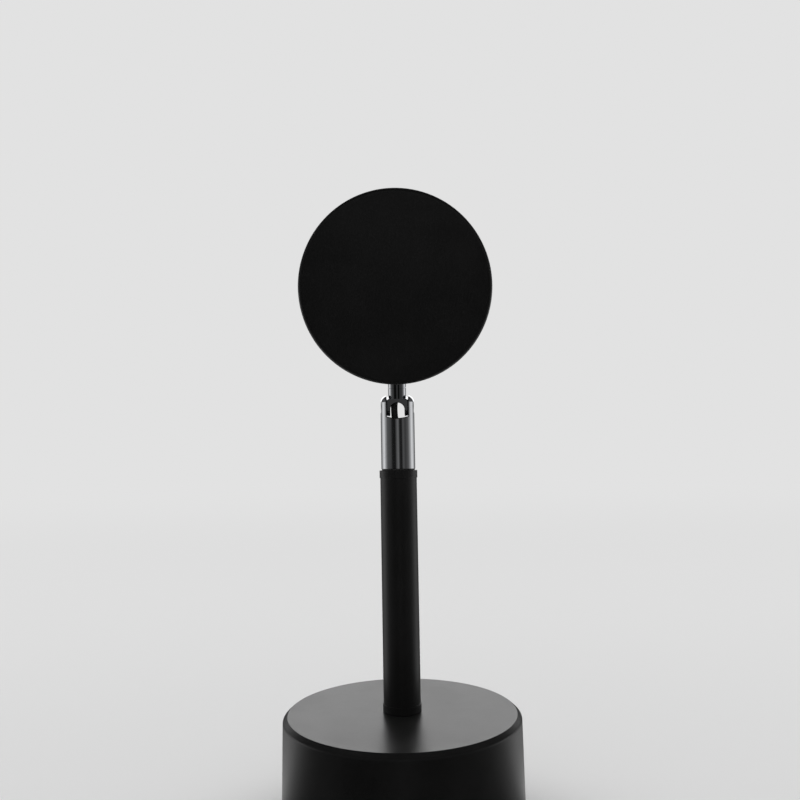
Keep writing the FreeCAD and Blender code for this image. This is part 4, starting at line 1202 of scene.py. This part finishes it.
@dataclass(frozen=True)
class Softbox:
    """A flat soft light that is aimed at the lamp.

    Args:
        name: its name.
        bearing: its direction from the lamp, in degrees from the camera to the picture's right.
        height: its middle's height, in metres.
        distance: its distance along the floor, in metres.
        size: its width and height, in metres.
        level: the brightness of its face, where 1 is white.
    """

    name: str
    bearing: float
    height: float
    distance: float
    size: tuple[float, float]
    level: float

    def make(self, target: Vector) -> None:
        """Makes the light.

        Args:
            target: the point that it is aimed at.
        """
        data = bpy.data.lights.new(self.name, "AREA")
        data.shape = "RECTANGLE"
        data.size, data.size_y = self.size
        data.energy = self.level * math.pi * self.size[0] * self.size[1]
        light = placed(self.name, data)
        angle = math.radians(self.bearing)
        light.location = (-math.sin(angle) * self.distance, math.cos(angle) * self.distance, self.height)
        light.visible_glossy = False
        light.rotation_euler = (target - light.location).to_track_quat("-Z", "Y").to_euler()


@dataclass(frozen=True)
class MirrorBowl:
    """A low bowl of soft light and shade round the lamp, which only glossy surfaces show.

    Args:
        inner: the radius of the hole in its floor, in metres.
        radius: its wall's distance from the lamp.
        low: its floor's height.
        high: its rim's height.
        tones: its brightness by bearing, which is measured as the lights' is.
        near_shade: how much darker its floor is on the camera's side, from 0 to 1.
        far_shade: how much darker its floor is elsewhere.
        shade_turn: the bearings between which one turns into the other, in degrees.
        shade_top: how high up the wall the shade fades out, in metres.
    """

    inner: float = 0.048
    radius: float = 1.4
    low: float = 0.002
    high: float = 0.32
    tones: tuple[tuple[float, float], ...] = (
        (-168, 0.07), (-146, 0.14), (-124, 0.6), (-108, 0.85), (-92, 0.36), (-76, 0.1), (-48, 0.06),
        (-38, 0.012), (-18, 0.01), (-8, 0.09), (2, 0.16), (12, 0.02), (25, 0.01), (36, 0.09), (52, 0.045),
        (74, 0.1), (92, 0.36), (108, 0.85), (124, 0.6), (146, 0.14), (168, 0.07),
    )
    near_shade: float = 0.7
    far_shade: float = 0.3
    shade_turn: tuple[float, float] = (25.0, 55.0)
    shade_top: float = 0.048

    def make(self) -> None:
        """Makes the bowl."""
        outline = [(self.inner, self.low), (self.radius, self.low), (self.radius, self.high)]
        bowl = finished("mirror_bowl", turned(outline, ROUND_STEPS))
        material, sheet = blank("mirror_bowl")
        split = sheet.add("ShaderNodeSeparateXYZ", {"Vector": sheet.place()}).outputs
        bearing = sheet.math("ARCTAN2", sheet.times(split["X"], -1.0), split["Y"])
        share = sheet.plus(sheet.math("DIVIDE", bearing, TURN), 0.5)
        tone = sheet.colours(share, tuple((0.5 + angle / 360, grey(level)) for angle, level in self.tones))
        along_floor = sheet.ramp(split["Z"], self.low, self.shade_top, 1.0, 0.0)
        darker = sheet.ramp(sheet.math("ABSOLUTE", bearing), *map(math.radians, self.shade_turn),
                            self.near_shade, self.far_shade)
        level = sheet.rest(sheet.times(along_floor, darker))
        glow = sheet.add("ShaderNodeEmission", {"Color": tone, "Strength": level})
        sheet.add("ShaderNodeOutputMaterial", {"Surface": glow.outputs["Emission"]})
        bowl.data.materials.append(material)
        for kind in ("camera", "diffuse", "shadow", "transmission"):
            setattr(bowl, "visible_" + kind, False)


@dataclass(frozen=True)
class Studio:
    """A pale floor under plain soft light, with the light's main share from behind the lamp.

    Args:
        surround: the brightness of what surrounds the lamp, as it is seen.
        fill: the brightness with which it lights the lamp.
        round_about: the brightness that glossy surfaces show all round the lamp.
        behind: the brightness that they show straight behind it.
        turn: where one turns into the other, as the level direction's backward share, from and to.
        overhead: where both dim, as the direction's upward share, from and to.
        dim: the share of them that is left there.
        floor_colour: the floor's colour.
        floor_reach: the floor's radius, in metres.
        floor_drop: how far it lies below the foot pad, which keeps the two faces apart.
        fade: where the floor turns into the surround, from and to, in metres.
        fade_bend: a length that spreads the fade evenly over the picture.
        softboxes: the lights.
    """

    surround: float = 0.76
    fill: float = 0.47
    round_about: float = 0.08
    behind: float = 1.7
    turn: tuple[float, float] = (0.7, 0.94)
    overhead: tuple[float, float] = (0.4, 0.65)
    dim: float = 0.1
    floor_colour: Colour = grey(0.8)
    floor_reach: float = 12.0
    floor_drop: float = 0.00005
    fade: tuple[float, float] = (0.15, 4.0)
    fade_bend: float = 0.3
    softboxes: tuple[Softbox, ...] = (
        Softbox("softbox_left", -110.0, 1.05, 1.1, (0.9, 1.0), 1.0),
        Softbox("softbox_right", 110.0, 1.05, 1.1, (0.9, 1.0), 1.1),
        Softbox("softbox_top", 180.0, 1.35, 0.35, (1.2, 1.0), 1.5),
    )

    def make(self) -> None:
        """Makes the surround, the floor, the lights and the bowl."""
        self.make_surround()
        self.make_floor()
        target = Vector((0, 0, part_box("swivel_sleeve")[0].z))
        for softbox in self.softboxes:
            softbox.make(target)
        MirrorBowl().make()

    def make_surround(self) -> None:
        """Lights the world evenly: pale to look at, dark in glossy surfaces, but bright behind the lamp."""
        world = bpy.data.worlds.new("surround")
        world.use_nodes = True
        sheet = Sheet(world.node_tree)
        path = sheet.add("ShaderNodeLightPath").outputs
        direction = sheet.add("ShaderNodeTexCoord").outputs["Generated"]
        split = sheet.add("ShaderNodeSeparateXYZ", {"Vector": direction}).outputs
        across, along = split["X"], split["Y"]
        level_reach = sheet.math("SQRT", sheet.plus(sheet.times(across, across), sheet.times(along, along)))
        backward = sheet.math("DIVIDE", sheet.times(along, -1.0), sheet.plus(level_reach, DIVISION_GUARD))
        mirrored = sheet.times(sheet.ramp(backward, *self.turn, self.round_about, self.behind),
                               sheet.ramp(split["Z"], *self.overhead, 1.0, self.dim))
        plain = sheet.plus(path["Is Camera Ray"], path["Is Transmission Ray"], clamp=True)
        glossy = sheet.times(path["Is Glossy Ray"], sheet.rest(plain))
        other = sheet.math("SUBTRACT", sheet.rest(plain), glossy)
        shown = sheet.plus(sheet.times(plain, self.surround), glossy, mirrored)
        strength = sheet.plus(shown, other, self.fill)
        glow = sheet.add("ShaderNodeBackground", {"Color": grey(1.0), "Strength": strength})
        sheet.add("ShaderNodeOutputWorld", {"Surface": glow.outputs["Background"]})
        bpy.context.scene.world = world

    def make_floor(self) -> None:
        """Makes a matt floor that holds the shadow, fades out far away and is see-through from below."""
        shape = bmesh.new()
        bmesh.ops.create_circle(shape, cap_ends=True, radius=self.floor_reach, segments=ROUND_STEPS)
        bmesh.ops.translate(shape, vec=(0, 0, -self.floor_drop), verts=shape.verts)
        floor = finished("floor", shape)
        material, sheet = blank("floor")
        matt = sheet.add("ShaderNodeBsdfDiffuse", {"Color": self.floor_colour}).outputs["BSDF"]
        pale = sheet.add("ShaderNodeEmission", {"Color": grey(self.surround)}).outputs["Emission"]
        nearness = sheet.math("DIVIDE", 1.0, sheet.plus(sheet.length(sheet.place()), self.fade_bend))
        near, wide = (1 / (reach + self.fade_bend) for reach in self.fade)
        path = sheet.add("ShaderNodeLightPath").outputs
        seen = sheet.plus(path["Is Camera Ray"], path["Is Glossy Ray"], clamp=True)
        seen = sheet.plus(seen, path["Is Transmission Ray"], clamp=True)
        far = sheet.times(sheet.rest(sheet.ramp(nearness, wide, near)), seen)
        above = sheet.add("ShaderNodeMixShader", {"Fac": far, 1: matt, 2: pale}).outputs["Shader"]
        clear = sheet.add("ShaderNodeBsdfTransparent").outputs["BSDF"]
        below = sheet.add("ShaderNodeNewGeometry").outputs["Backfacing"]
        both = sheet.add("ShaderNodeMixShader", {"Fac": below, 1: above, 2: clear}).outputs["Shader"]
        sheet.add("ShaderNodeOutputMaterial", {"Surface": both})
        floor.data.materials.append(material)


def main() -> None:
    """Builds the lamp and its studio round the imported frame."""
    logging.basicConfig(level=logging.INFO, format="%(name)s %(message)s")
    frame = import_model()
    ProductCamera().make()
    places = Places.of(frame)
    paints = Paintshop()
    for kind in (Base, Post, Knuckle, Head):
        kind(frame, paints, places).build()
    Studio().make()
    bpy.context.scene.view_settings.view_transform = "Standard"


if __name__ == "__main__":
    main()
